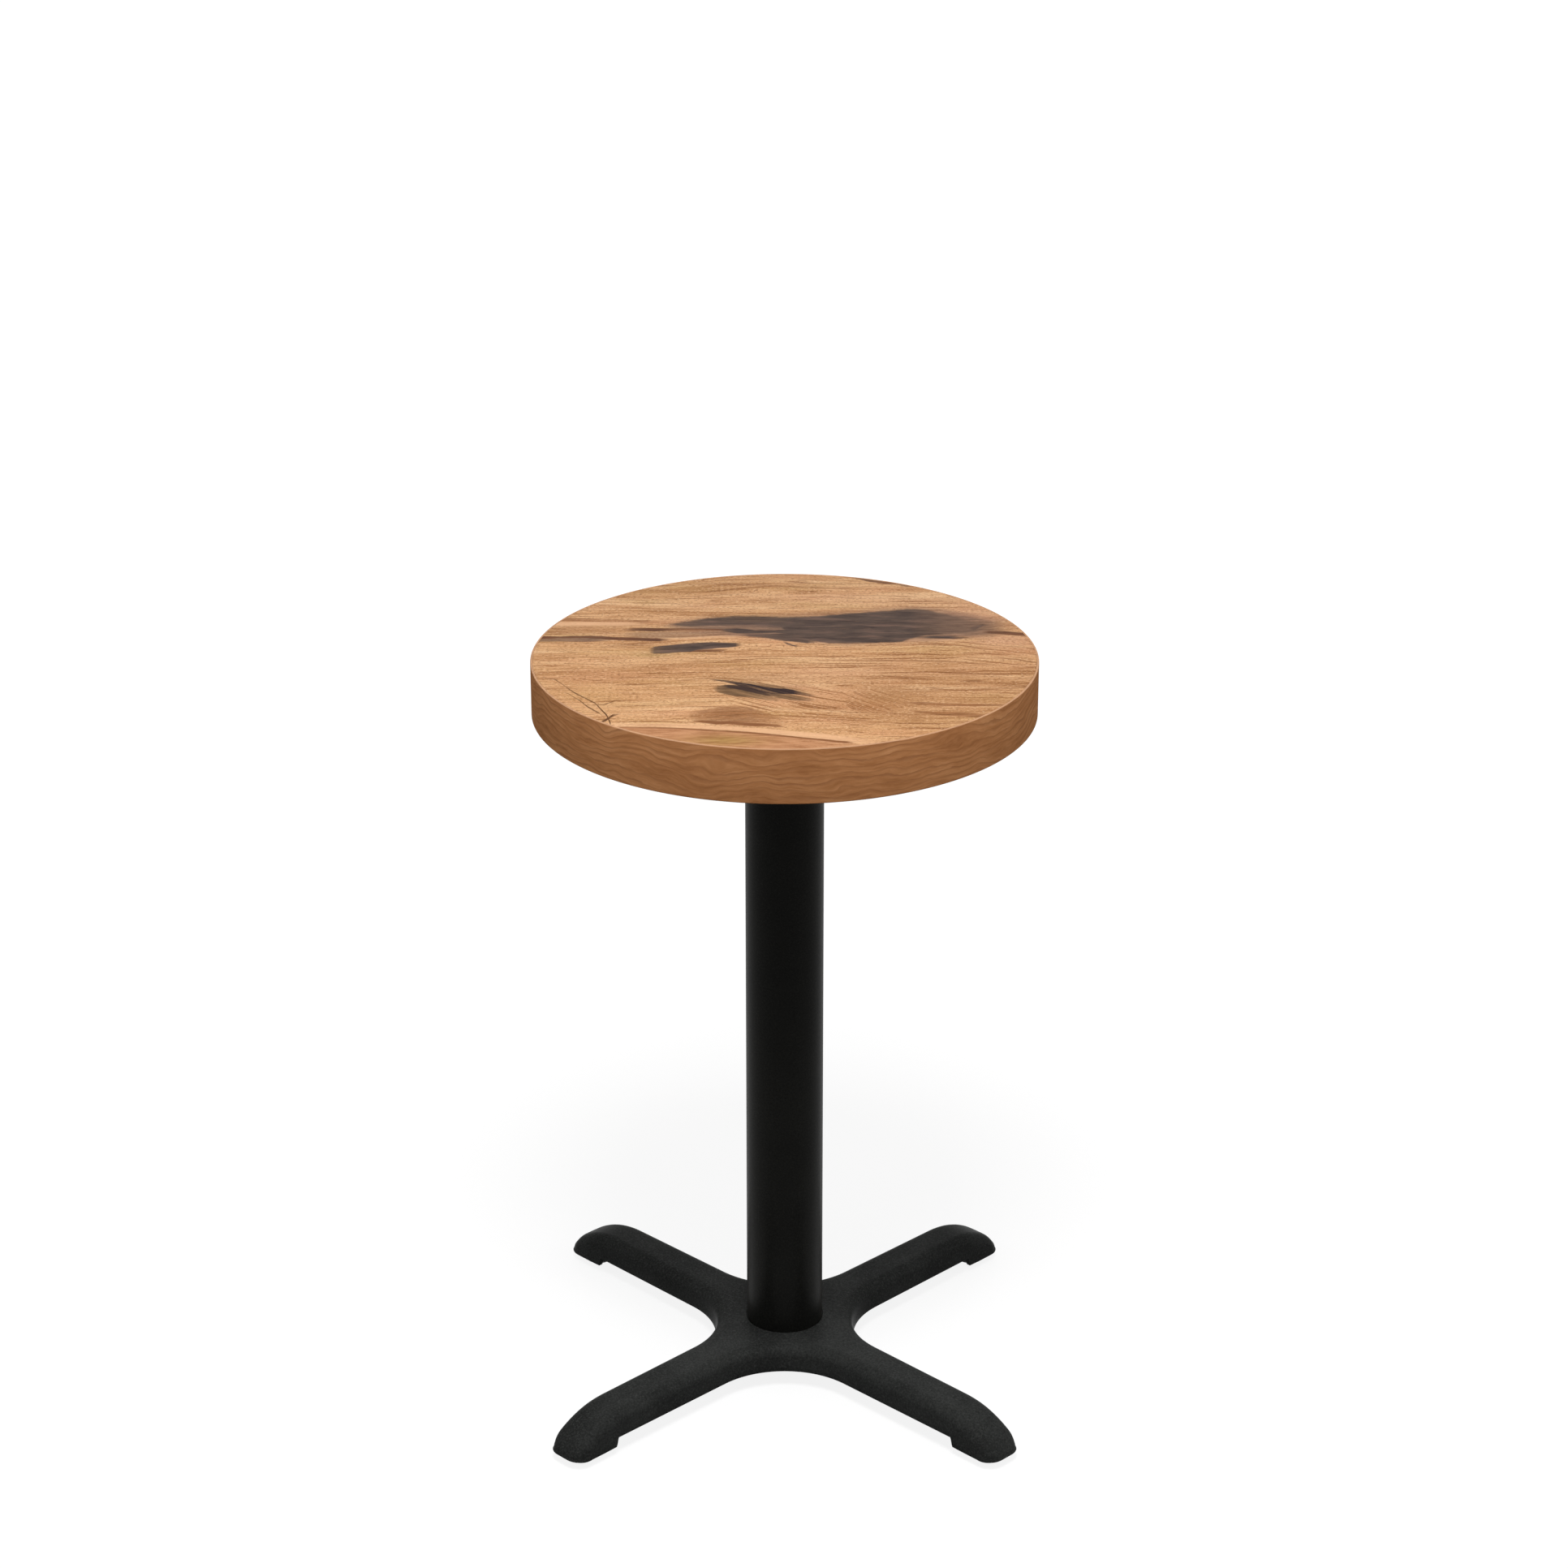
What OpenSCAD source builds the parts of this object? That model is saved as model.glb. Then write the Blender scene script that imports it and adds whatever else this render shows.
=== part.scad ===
// Round cafe table. A round board with a built-up edge stands on a steel tube, and one tie
// rod clamps board, tube and a cast four-armed base together. Each toe has a levelling glide.
// Millimetres. The origin is on the floor on the column's axis, +Z is up, and the four arms
// of the base lie on the diagonals of X and Y.

/* [Tabletop] */
// Height of the tabletop's upper face above the floor
table_h = 757; // [680:1:800]
// Diameter of the tabletop over its edge band
top_d = 482; // [440:1:600]
// Depth of the visible edge
edge_h = 53; // [44:1:70]
// Thickness of the round board
core_t = 28; // [22:1:32]
// Width of the ring that builds up the edge
buildup_w = 52; // [40:1:60]
// Thickness of the laminate on the upper face
laminate_t = 1; // [0.6:0.1:2]
// Thickness of the sheet on the board's underside
backer_t = 0.8; // [0.5:0.1:1.5]
// Thickness of the edge band
band_t = 2; // [1.5:0.1:3]
// Radius along both rims of the edge band
band_r = 1; // [0.3:0.1:1.3]
// Chamfer along the inner rim of the build-up ring
buildup_chamfer = 3; // [1:0.5:6]

/* [Mounting spider] */
// Distance over two opposite arms
spider_span = 260; // [220:1:300]
// Thickness of the arms
spider_t = 6; // [5:0.5:8]
// Width of an arm at the hub
spider_root_w = 46; // [38:1:52]
// Width of an arm at its round end
spider_tip_w = 28; // [22:1:34]
// Diameter of the round flange that rests on the column
spider_flange_d = 104; // [98:1:116]
// Depth of the cup for the upper nut
cup_depth = 21; // [19:1:26]
// Diameter of the cup
cup_d = 44; // [38:1:50]
// Thickness of the cup's floor
cup_floor_t = 7; // [5:0.5:10]
// Thickness of the web under each arm
spider_web_t = 6; // [4:0.5:8]
// Height of the web where it starts beside the column
spider_web_h = 14; // [8:1:20]

/* [Column] */
// Outside diameter of the column tube
column_d = 76.2; // [70:0.1:80]
// Wall thickness of the column tube
column_wall = 2; // [1.5:0.1:3]
// Radial clearance between the tube and the two spigots inside it
spigot_gap = 0.3; // [0.2:0.05:0.6]
// Height of the base's spigot inside the tube
spigot_h = 12; // [6:1:20]
// Depth of the seat in the base that the tube stands in
seat_depth = 1.5; // [1:0.1:2.5]
// Gap round the tube at the seat
seat_gap = 0.9; // [0.5:0.1:1.5]

/* [Tie rod] */
// Diameter of the tie rod
rod_d = 10; // [8:0.5:12]
// Radial clearance of the rod's holes
rod_gap = 0.3; // [0.2:0.05:0.5]
// Width across flats of the two nuts
nut_af = 17; // [15:0.5:19]
// Height of the two nuts
nut_h = 8; // [6:0.5:9]
// Length of rod that stands past each nut
rod_proud = 3; // [1:0.5:4]
// Diameter of the two flat washers
washer_d = 30; // [24:1:34]
// Thickness of the two flat washers
washer_t = 2.5; // [1.5:0.1:3]
// Diameter of the split lock washer
lock_washer_d = 18; // [16.5:0.5:21]
// Thickness of the split lock washer
lock_washer_t = 2.5; // [1.5:0.1:3]
// Width of the slit through the lock washer
lock_slit_w = 1.5; // [1:0.1:2.5]

/* [Wood screws] */
// Diameter of the screws' shanks
screw_d = 4.5; // [3.5:0.1:5]
// Length of the screws under the head
screw_l = 26; // [20:1:28]
// Diameter of the screws' pan heads
screw_head_d = 9; // [7.5:0.1:10]
// Height of the screws' pan heads
screw_head_h = 3.2; // [2.5:0.1:4]
// Width of the slots of the cross recess
screw_slot_w = 1.2; // [0.8:0.1:1.5]
// Depth of the cross recess
screw_slot_depth = 1.8; // [1:0.1:2.2]
// Distance from the column's axis to the inner ring of screws
screw_ring_inner = 74; // [70:1:80]
// Distance from the column's axis to the outer ring of screws
screw_ring_outer = 114; // [100:1:118]
// Radial clearance of the screws in the spider's holes
screw_gap = 0.5; // [0.2:0.05:0.8]

/* [Base casting] */
// Distance from toe to opposite toe
base_span = 610; // [580:1:680]
// Height of the hub and the arms above the floor
base_h = 45; // [43:0.5:50]
// Height of the flat skirt from its lower rim to the arm's top
skirt_h = 26.5; // [24:0.5:29]
// Width of an arm where it leaves the hub
arm_root_w = 50; // [46:0.5:56]
// Width of an arm at its toe
arm_toe_w = 47; // [44:0.5:52]
// Radius of the valley between two arms
valley_r = 84; // [70:1:100]
// Length over which a toe droops to its blunt end
droop_l = 73; // [60:1:84]
// Height of the toe's upper rim at its blunt end
toe_end_h = 17; // [15.5:0.5:22]
// Exponent of the droop: larger is flatter at first and steeper at the end
droop_power = 2.25; // [1.9:0.05:2.6]
// Radius of the toe's two corners in plan
toe_corner_r = 16; // [10:0.5:18]
// Radius along the top edges
edge_r = 12; // [8:0.5:13]
// Length of the foot, where the rim reaches lower than the skirt
foot_l = 52; // [46:0.5:60]
// Height of the rim above the floor at both ends of the foot
foot_end_h = 9; // [8:0.5:11]
// Height of the rim above the floor halfway along the foot
foot_mid_h = 8.5; // [6:0.5:9]
// Wall thickness of the casting
wall = 5; // [4:0.5:6]
// Draft of the skirt over its height
draft = 1; // [0:0.25:2]
// Thickness of the hub under the column
hub_t = 9; // [7:0.5:10]
// Diameter of the thick pad under the hub
hub_pad_d = 88; // [80:1:96]
// Thickness of the rib under each arm
rib_t = 5; // [3:0.5:7]
// Height of the ribs' lower edge above the skirt's lower rim
rib_recess = 5; // [3:0.5:10]
// Distance from the column's axis to where the ribs start
rib_start = 24; // [20:1:30]

/* [Levelling glides] */
// Distance from a toe's end to the glide's axis
glide_inset = 25; // [23:0.5:32]
// Diameter of a glide's boss in the toe
glide_boss_d = 18; // [15:0.5:20]
// Diameter of the glide's threaded stem
stem_d = 8; // [6:0.5:9]
// Length of the stem with its foot
stem_l = 25.4; // [22:0.2:26]
// Radial clearance between stem and boss, at the flanks of the thread
thread_gap = 0.05; // [0.02:0.01:0.1]
// Depth that the blind hole goes past the stem
stem_spare = 2; // [1.5:0.5:3]
// Width across flats of the hexagon that a wrench turns
hex_af = 13; // [11:0.5:14]
// Height of the hexagon
hex_h = 3.5; // [3:0.5:5]
// Gap between the hexagon and the boss, which lets the glide turn further in
home_gap = 1.2; // [1.1:0.1:2]
// Diameter of a glide's pad at the floor
pad_d = 28; // [24:0.5:30]
// Height of a glide's pad
pad_h = 5.5; // [5:0.1:6]
// Diameter of the pad's upper rim
pad_top_d = 19; // [17:0.5:21]
// Height of the pad's straight rim at the floor
pad_rim_h = 2.2; // [1.5:0.1:3]
// Chamfer round the pad's lower edge
pad_chamfer = 0.8; // [0.4:0.1:1.2]
// Diameter of the stem's foot, which turns inside the pad
stem_foot_d = 12; // [11:0.5:13]
// Thickness of the stem's foot
stem_foot_h = 2; // [1.5:0.1:2.2]
// Thickness of the pad under the stem's foot
pad_floor_t = 1.6; // [1.2:0.1:1.8]
// Radial clearance between the stem and the pad
pad_gap = 0.1; // [0.05:0.01:0.15]
// Gap between the pad and the hexagon
hex_gap = 0.5; // [0.3:0.1:0.8]

/* [Hidden] */

// Smooth round faces
$fn = 96;
// Overlap of cutting bodies with what they cut
eps = 1;
// Number of arms on the base, and on the spider
arm_count = 4;

// Heights of the tabletop's layers, from the top down
core_top_z = table_h - laminate_t;
core_bottom_z = core_top_z - core_t;
mount_z = core_bottom_z - backer_t;
edge_bottom_z = table_h - edge_h;
core_d = top_d - 2 * band_t;

// Heights along the column
column_bottom_z = base_h - seat_depth;
column_top_z = mount_z - spider_t;
column_bore_d = column_d - 2 * column_wall;
spigot_d = column_bore_d - 2 * spigot_gap;
cup_floor_z = mount_z - cup_depth;
cup_bottom_z = cup_floor_z - cup_floor_t;
rod_hole_d = rod_d + 2 * rod_gap;

// Heights of the stack under the hub
nut_seat_z = base_h - hub_t;
lower_washer_z = nut_seat_z - washer_t;
lock_washer_z = lower_washer_z - lock_washer_t;
lower_nut_z = lock_washer_z - nut_h;
rod_bottom_z = lower_nut_z - rod_proud;

// Heights of the stack in the spider's cup
upper_nut_z = cup_floor_z + washer_t;
rod_top_z = upper_nut_z + nut_h + rod_proud;

// Plan of the base casting
reach = base_span / 2;
skirt_z = base_h - skirt_h;
foot_start = reach - foot_l;
droop_start = reach - droop_l;
glide_r = reach - glide_inset;
// Lead of an arm's straight side before the droop or the foot starts
side_lead = edge_r / 2;
side_start = min(droop_start, foot_start) - side_lead;

// Heights along a glide
hex_z = pad_h + hex_gap;
glide_boss_h = hex_z + hex_h + home_gap;
stem_top_h = pad_floor_t + stem_l;

// Steps round each curve of the base casting
corner_steps = 5;
toe_steps = 4;
heel_steps = 4;
valley_steps = 7;
edge_steps = 5;
inner_edge_steps = 2;
half_count = corner_steps + toe_steps + heel_steps + valley_steps + 3;
arm_points = 2 * half_count - 1;
ring_points = arm_count * arm_points;
inner_edge_r = edge_r / 2;
// Share of the inset by which the toe's corners tighten, and their least radius
corner_share = 0.7;
least_corner_r = edge_r / 4;
// Least height of the upright band at the toe's blunt end
toe_rim_h = 3;

// Spider screws as pairs along each arm
screw_rings = [screw_ring_inner, screw_ring_outer];
pilot_z = mount_z - spider_t;

// Angles of the arms, in the order of the glides' names
front_left = 225;
front_right = 315;
back_right = 45;
back_left = 135;

// Height of the arm's top at a distance from the column's axis
function top_z(u) = let(t = max(u - droop_start, 0) / (reach - droop_start))
    base_h - (base_h - toe_end_h) * pow(t, droop_power);

// Height of the rim: it dips halfway along the foot
function rim_z(u) = let(t = max(u - foot_start, 0) / foot_l)
    foot_mid_h + (foot_end_h - foot_mid_h) * pow(2 * t - 1, 2);

// Half of an arm's outline, from the toe's end to the valley, drawn in by inset
function half_outline(inset) = let(
    tip = reach - inset,
    half_toe = arm_toe_w / 2 - inset,
    half_root = arm_root_w / 2 - inset,
    corner = max(toe_corner_r - corner_share * inset, least_corner_r),
    valley = valley_r + inset,
    centre = half_root + valley,
    side_end = tip - corner,
    side = function(u) half_toe + (half_root - half_toe) * (side_end - u) / (side_end - centre)
) concat(
    [for (k = [0:corner_steps]) let(a = 90 * k / corner_steps)
        [side_end + corner * cos(a), half_toe - corner + corner * sin(a)]],
    [for (k = [1:toe_steps]) let(u = side_end - (side_end - foot_start) * (k - 0.5) / toe_steps)
        [u, side(u)]],
    [for (k = [1:heel_steps]) let(u = foot_start - (foot_start - side_start) * (k - 0.5) / heel_steps)
        [u, side(u)]],
    [[side_start, side(side_start)]],
    [for (k = [0:valley_steps]) let(a = 45 * k / valley_steps)
        [centre - valley * sin(a), centre - valley * cos(a)]]
);

// One arm's outline, from just past one valley round the toe to the next valley
function arm_outline(inset) = let(half = half_outline(inset), last = half_count - 1)
    concat([for (k = [1:last]) [half[last - k].x, -half[last - k].y]], half);

// Turns a point of an arm's outline to the arm's angle
function turned(p, a) = [p.x * cos(a) - p.y * sin(a), p.x * sin(a) + p.y * cos(a)];

// Outline of all arms at one inset, lifted to the height that the rule gives
function ring(inset, height) = [
    for (arm = [0:arm_count - 1], p = arm_outline(inset))
        let(q = turned(p, 45 + 360 / arm_count * arm)) [q.x, q.y, height(p.x)]
];

// Faces between two rings that follow one another upward
function band_faces(lower) = let(n = ring_points) [
    for (i = [0:n - 1]) let(
        a = lower * n + i,
        b = lower * n + (i + 1) % n,
        c = b + n,
        d = a + n
    ) each [[a, d, c], [a, c, b]]
];

// Strips across each arm and a square over the hub, which close the first or last ring
function cap_faces(level, up) = let(
    n = ring_points,
    first = level * n,
    valleys = [for (arm = [0:arm_count - 1]) first + arm * arm_points + arm_points - 1],
    strips = [for (arm = [0:arm_count - 1], h = [0:half_count - 2]) let(
        s = arm * arm_points,
        left = first + (s + half_count - 1 + h) % n,
        right = first + (s + half_count - 2 - h + n) % n,
        next_left = first + (s + half_count + h) % n,
        next_right = first + (s + half_count - 3 - h + n) % n
    ) each [[left, right, next_right], [left, next_right, next_left]]],
    middle = [[valleys[0], valleys[3], valleys[2]], [valleys[0], valleys[2], valleys[1]]],
    faces = concat(strips, middle)
) up ? faces : [for (f = faces) [f[0], f[2], f[1]]];

// Closed body from a stack of rings
module ring_stack(rings) {
    last = len(rings) - 1;
    polyhedron(
        points = [for (r = rings) each r],
        faces = concat(
            cap_faces(0, false),
            [for (k = [0:last - 1]) each band_faces(k)],
            cap_faces(last, true)
        ),
        convexity = 6
    );
}

// Outer form of the casting: an upright skirt and a rounded top edge
module casting_form() {
    round_at = function(u) min(edge_r, top_z(u) - rim_z(u) - toe_rim_h);
    ring_stack(concat(
        [ring(0, function(u) rim_z(u))],
        [for (k = [0:edge_steps]) let(a = 90 * k / edge_steps)
            ring(draft + edge_r * (1 - cos(a)),
                function(u) top_z(u) - round_at(u) * (1 - sin(a)))]
    ));
}

// Form of the hollow under the casting, open below
module hollow_form() {
    ring_stack(concat(
        [ring(wall, function(u) -eps)],
        [for (k = [0:inner_edge_steps]) let(a = 90 * k / inner_edge_steps)
            ring(wall + draft + inner_edge_r * (1 - cos(a)),
                function(u) top_z(u) - wall - inner_edge_r * (1 - sin(a)))]
    ));
}

// Side view of a rib: straight below, and inside the casting's roof above
module rib_outline() {
    steps = 6;
    rib_z = skirt_z + rib_recess;
    polygon(concat(
        [[glide_r, rib_z], [rib_start, rib_z], [rib_start, base_h - wall / 2]],
        [for (k = [0:steps]) let(u = droop_start + (glide_r - droop_start) * k / steps)
            [u, top_z(u) - wall / 2]]
    ));
}

// Repeats its children on every arm, turned so that +X runs along the arm
module on_arms() {
    for (arm = [0:arm_count - 1])
        rotate(45 + 360 / arm_count * arm)
            children();
}

// What stays solid inside the hollow: the hub's pad, the ribs and the glides' bosses
module inner_metal() {
    translate([0, 0, nut_seat_z])
        cylinder(d = hub_pad_d, h = hub_t);
    on_arms() {
        rotate([90, 0, 0])
            translate([0, 0, -rib_t / 2])
                linear_extrude(rib_t)
                    rib_outline();
        translate([glide_r, 0, glide_boss_h])
            cylinder(d = glide_boss_d, h = base_h - glide_boss_h);
    }
}

// Cut that lifts the skirt between the feet
module skirt_cut() {
    rotate(45)
        translate([-foot_start, -foot_start, -eps])
            cube([2 * foot_start, 2 * foot_start, skirt_z + eps]);
}

// Round seat for the column tube, with the spigot left standing in it
module column_seat() {
    translate([0, 0, column_bottom_z])
        difference() {
            cylinder(d = column_d + 2 * seat_gap, h = seat_depth + eps);
            translate([0, 0, -eps])
                cylinder(d = spigot_d, h = seat_depth + 3 * eps);
        }
}

module cross_base() {
    color([0.10, 0.11, 0.11])
        difference() {
            union() {
                casting_form();
                translate([0, 0, nut_seat_z + hub_t / 2])
                    cylinder(d = spigot_d, h = hub_t / 2 - seat_depth + spigot_h);
            }
            difference() {
                hollow_form();
                inner_metal();
            }
            skirt_cut();
            column_seat();
            translate([0, 0, nut_seat_z - eps])
                cylinder(d = rod_hole_d, h = hub_t + spigot_h + 2 * eps);
            on_arms()
                translate([glide_r, 0, glide_boss_h - eps])
                    cylinder(d = stem_d + 2 * thread_gap, h = stem_top_h + stem_spare - glide_boss_h + eps);
        }
}

module column_tube() {
    color([0.09, 0.10, 0.10])
        translate([0, 0, column_bottom_z])
            difference() {
                cylinder(d = column_d, h = column_top_z - column_bottom_z);
                translate([0, 0, -eps])
                    cylinder(d = column_bore_d, h = column_top_z - column_bottom_z + 2 * eps);
            }
}

module tie_rod() {
    color("silver")
        translate([0, 0, rod_bottom_z])
            cylinder(d = rod_d, h = rod_top_z - rod_bottom_z);
}

// Hexagon nut with its corners turned off, standing on z = 0
module nut(across, height, bore) {
    corner_d = across / cos(30);
    difference() {
        intersection() {
            cylinder(d = corner_d, h = height, $fn = 6);
            rotate_extrude()
                polygon([
                    [0, 0], [across / 2, 0], [corner_d / 2, (corner_d - across) / 4],
                    [corner_d / 2, height - (corner_d - across) / 4], [across / 2, height], [0, height]
                ]);
        }
        translate([0, 0, -eps])
            cylinder(d = bore, h = height + 2 * eps);
    }
}

// Flat ring, standing on z = 0
module washer(outside, thickness, bore) {
    difference() {
        cylinder(d = outside, h = thickness);
        translate([0, 0, -eps])
            cylinder(d = bore, h = thickness + 2 * eps);
    }
}

module lower_washer() {
    color("silver")
        translate([0, 0, lower_washer_z])
            washer(washer_d, washer_t, rod_hole_d);
}

module lower_lock_washer() {
    color("gainsboro")
        translate([0, 0, lock_washer_z])
            difference() {
                washer(lock_washer_d, lock_washer_t, rod_hole_d);
                translate([0, -lock_slit_w / 2, -eps])
                    cube([lock_washer_d, lock_slit_w, lock_washer_t + 2 * eps]);
            }
}

module lower_nut() {
    color("silver")
        translate([0, 0, lower_nut_z])
            nut(nut_af, nut_h, rod_d);
}

module upper_washer() {
    color("silver")
        translate([0, 0, cup_floor_z])
            washer(washer_d, washer_t, rod_hole_d);
}

module upper_nut() {
    color("silver")
        translate([0, 0, upper_nut_z])
            nut(nut_af, nut_h, rod_d);
}

// Plan of one spider arm: it leaves the flange, tapers and has a round end
module spider_arm_plan() {
    steps = 12;
    end_r = spider_tip_w / 2;
    tip = spider_span / 2 - end_r;
    root = spider_flange_d / 3;
    polygon(concat(
        [[root, spider_root_w / 2], [root, -spider_root_w / 2]],
        [for (k = [0:steps]) let(a = 180 * k / steps - 90)
            [tip + end_r * cos(a), end_r * sin(a)]]
    ));
}

// Plan of the spider's plate with the screw holes
module spider_plan() {
    difference() {
        union() {
            circle(d = spider_flange_d);
            on_arms()
                spider_arm_plan();
        }
        on_arms()
            for (r = screw_rings)
                translate([r, 0])
                    circle(d = screw_d + 2 * screw_gap, $fn = 32);
    }
}

// Tapered web that stiffens one spider arm, from beside the tube to the last screw
module spider_web() {
    web_end = screw_ring_outer - screw_head_d;
    rotate([90, 0, 0])
        translate([0, 0, -spider_web_t / 2])
            linear_extrude(spider_web_t)
                polygon([
                    [column_d / 2 + spigot_gap, eps], [column_d / 2 + spigot_gap, -spider_web_h],
                    [screw_ring_inner - screw_head_d, -spider_web_h / 2],
                    [screw_ring_inner - screw_head_d, eps]
                ]);
    rotate([90, 0, 0])
        translate([0, 0, -spider_web_t / 2])
            linear_extrude(spider_web_t)
                polygon([
                    [screw_ring_inner + screw_head_d, eps],
                    [screw_ring_inner + screw_head_d, -spider_web_h / 3],
                    [web_end, -spider_web_h / 5], [web_end, eps]
                ]);
}

module mounting_spider() {
    color([0.13, 0.13, 0.14])
        difference() {
            union() {
                translate([0, 0, column_top_z]) {
                    linear_extrude(spider_t)
                        spider_plan();
                    on_arms()
                        spider_web();
                }
                translate([0, 0, cup_bottom_z])
                    cylinder(d = spigot_d, h = column_top_z + spider_t / 2 - cup_bottom_z);
            }
            translate([0, 0, cup_floor_z])
                cylinder(d = cup_d, h = cup_depth + eps);
            translate([0, 0, cup_bottom_z - eps])
                cylinder(d = rod_hole_d, h = cup_floor_t + 2 * eps);
        }
}

// Pan-head wood screw that points up, with its head's upper face on z = 0
module wood_screw() {
    point_l = screw_d;
    difference() {
        union() {
            cylinder(d = screw_d, h = screw_l - point_l, $fn = 24);
            translate([0, 0, screw_l - point_l])
                rotate_extrude($fn = 24)
                    polygon([[0, 0], [screw_d / 2, 0], [0, point_l]]);
            rotate_extrude($fn = 32)
                polygon([
                    [0, 0], [screw_head_d / 2, 0], [screw_head_d / 2, -screw_head_h / 2],
                    [screw_head_d / 3, -screw_head_h], [0, -screw_head_h]
                ]);
        }
        for (a = [0, 90])
            rotate(a)
                translate([-screw_head_d / 3.5, -screw_slot_w / 2, -screw_head_h - eps])
                    cube([screw_head_d / 1.75, screw_slot_w, screw_slot_depth + eps]);
    }
}

module spider_screws() {
    color("dimgray")
        on_arms()
            for (r = screw_rings)
                translate([r, 0, pilot_z])
                    wood_screw();
}

// Pilot holes that the screws' shanks fill
module pilot_holes() {
    on_arms()
        for (r = screw_rings)
            translate([r, 0, pilot_z])
                cylinder(d = screw_d, h = screw_l, $fn = 24);
}

module tabletop_core() {
    color([0.76, 0.62, 0.45])
        difference() {
            translate([0, 0, core_bottom_z])
                cylinder(d = core_d, h = core_t);
            pilot_holes();
        }
}

module backer_sheet() {
    color([0.35, 0.28, 0.22])
        difference() {
            translate([0, 0, mount_z])
                cylinder(d = core_d, h = backer_t);
            pilot_holes();
        }
}

module top_laminate() {
    color([0.80, 0.58, 0.38])
        translate([0, 0, core_top_z])
            cylinder(d = core_d, h = laminate_t);
}

module edge_build_up_ring() {
    outer_r = core_d / 2;
    inner_r = outer_r - buildup_w;
    color([0.72, 0.58, 0.42])
        rotate_extrude()
            polygon([
                [inner_r + buildup_chamfer, edge_bottom_z], [outer_r, edge_bottom_z],
                [outer_r, mount_z], [inner_r, mount_z], [inner_r, edge_bottom_z + buildup_chamfer]
            ]);
}

// Section of the edge band, with both outer corners rounded
module band_section() {
    translate([core_d / 2, edge_bottom_z]) {
        translate([0, band_r])
            square([band_t, edge_h - 2 * band_r]);
        square([band_t - band_r, edge_h]);
        translate([band_t - band_r, band_r])
            circle(r = band_r);
        translate([band_t - band_r, edge_h - band_r])
            circle(r = band_r);
    }
}

module edge_band() {
    color([0.66, 0.42, 0.27])
        rotate_extrude()
            intersection() {
                band_section();
                translate([core_d / 2, edge_bottom_z])
                    square([band_t, edge_h]);
            }
}

// Threaded steel stem with a foot that turns in the pad and a hexagon for a wrench
module glide_stem() {
    foot_top = pad_floor_t + stem_foot_h;
    translate([0, 0, pad_floor_t])
        cylinder(d = stem_foot_d, h = stem_foot_h, $fn = 48);
    translate([0, 0, foot_top - eps])
        cylinder(d = stem_d, h = stem_top_h - foot_top + eps, $fn = 48);
    translate([0, 0, hex_z])
        nut(hex_af, hex_h, stem_d - eps);
}

// Moulded pad: flat on the floor, conical above, hollow for the stem's foot
module glide_pad() {
    foot_pocket_top = pad_floor_t + stem_foot_h + pad_gap;
    difference() {
        rotate_extrude($fn = 64)
            polygon([
                [0, 0], [pad_d / 2 - pad_chamfer, 0], [pad_d / 2, pad_chamfer], [pad_d / 2, pad_rim_h],
                [pad_top_d / 2, pad_h], [0, pad_h]
            ]);
        translate([0, 0, pad_floor_t])
            cylinder(d = stem_foot_d + 2 * pad_gap, h = foot_pocket_top - pad_floor_t, $fn = 48);
        translate([0, 0, pad_floor_t + eps / 2])
            cylinder(d = stem_d + 2 * pad_gap, h = pad_h, $fn = 48);
    }
}

// Puts a glide's piece under the toe of the arm at the given angle
module at_toe(angle) {
    rotate(angle)
        translate([glide_r, 0, 0])
            children();
}

module glide_stem_front_left() {
    color("silver") at_toe(front_left) glide_stem();
}

module glide_stem_front_right() {
    color("silver") at_toe(front_right) glide_stem();
}

module glide_stem_back_right() {
    color("silver") at_toe(back_right) glide_stem();
}

module glide_stem_back_left() {
    color("silver") at_toe(back_left) glide_stem();
}

module glide_pad_front_left() {
    color([0.05, 0.05, 0.05]) at_toe(front_left) glide_pad();
}

module glide_pad_front_right() {
    color([0.05, 0.05, 0.05]) at_toe(front_right) glide_pad();
}

module glide_pad_back_right() {
    color([0.05, 0.05, 0.05]) at_toe(back_right) glide_pad();
}

module glide_pad_back_left() {
    color([0.05, 0.05, 0.05]) at_toe(back_left) glide_pad();
}

tabletop_core();
edge_build_up_ring();
top_laminate();
backer_sheet();
edge_band();
mounting_spider();
spider_screws();
upper_washer();
upper_nut();
tie_rod();
column_tube();
cross_base();
lower_washer();
lower_lock_washer();
lower_nut();
glide_stem_front_left();
glide_stem_front_right();
glide_stem_back_right();
glide_stem_back_left();
glide_pad_front_left();
glide_pad_front_right();
glide_pad_back_right();
glide_pad_back_left();
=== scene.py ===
import math

import bmesh
import bpy
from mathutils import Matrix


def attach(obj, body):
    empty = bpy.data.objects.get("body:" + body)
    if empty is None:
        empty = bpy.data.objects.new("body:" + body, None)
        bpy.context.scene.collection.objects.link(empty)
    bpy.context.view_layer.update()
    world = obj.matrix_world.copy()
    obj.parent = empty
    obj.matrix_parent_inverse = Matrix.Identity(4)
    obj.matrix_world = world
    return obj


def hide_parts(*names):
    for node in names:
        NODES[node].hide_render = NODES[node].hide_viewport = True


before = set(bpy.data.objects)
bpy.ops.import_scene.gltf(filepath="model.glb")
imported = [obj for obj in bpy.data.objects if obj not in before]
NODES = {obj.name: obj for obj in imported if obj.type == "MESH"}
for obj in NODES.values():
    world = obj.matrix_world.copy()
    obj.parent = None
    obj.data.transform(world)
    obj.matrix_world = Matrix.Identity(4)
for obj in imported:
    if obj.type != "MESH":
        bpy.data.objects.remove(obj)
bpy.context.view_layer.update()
MM = 0.001

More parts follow.
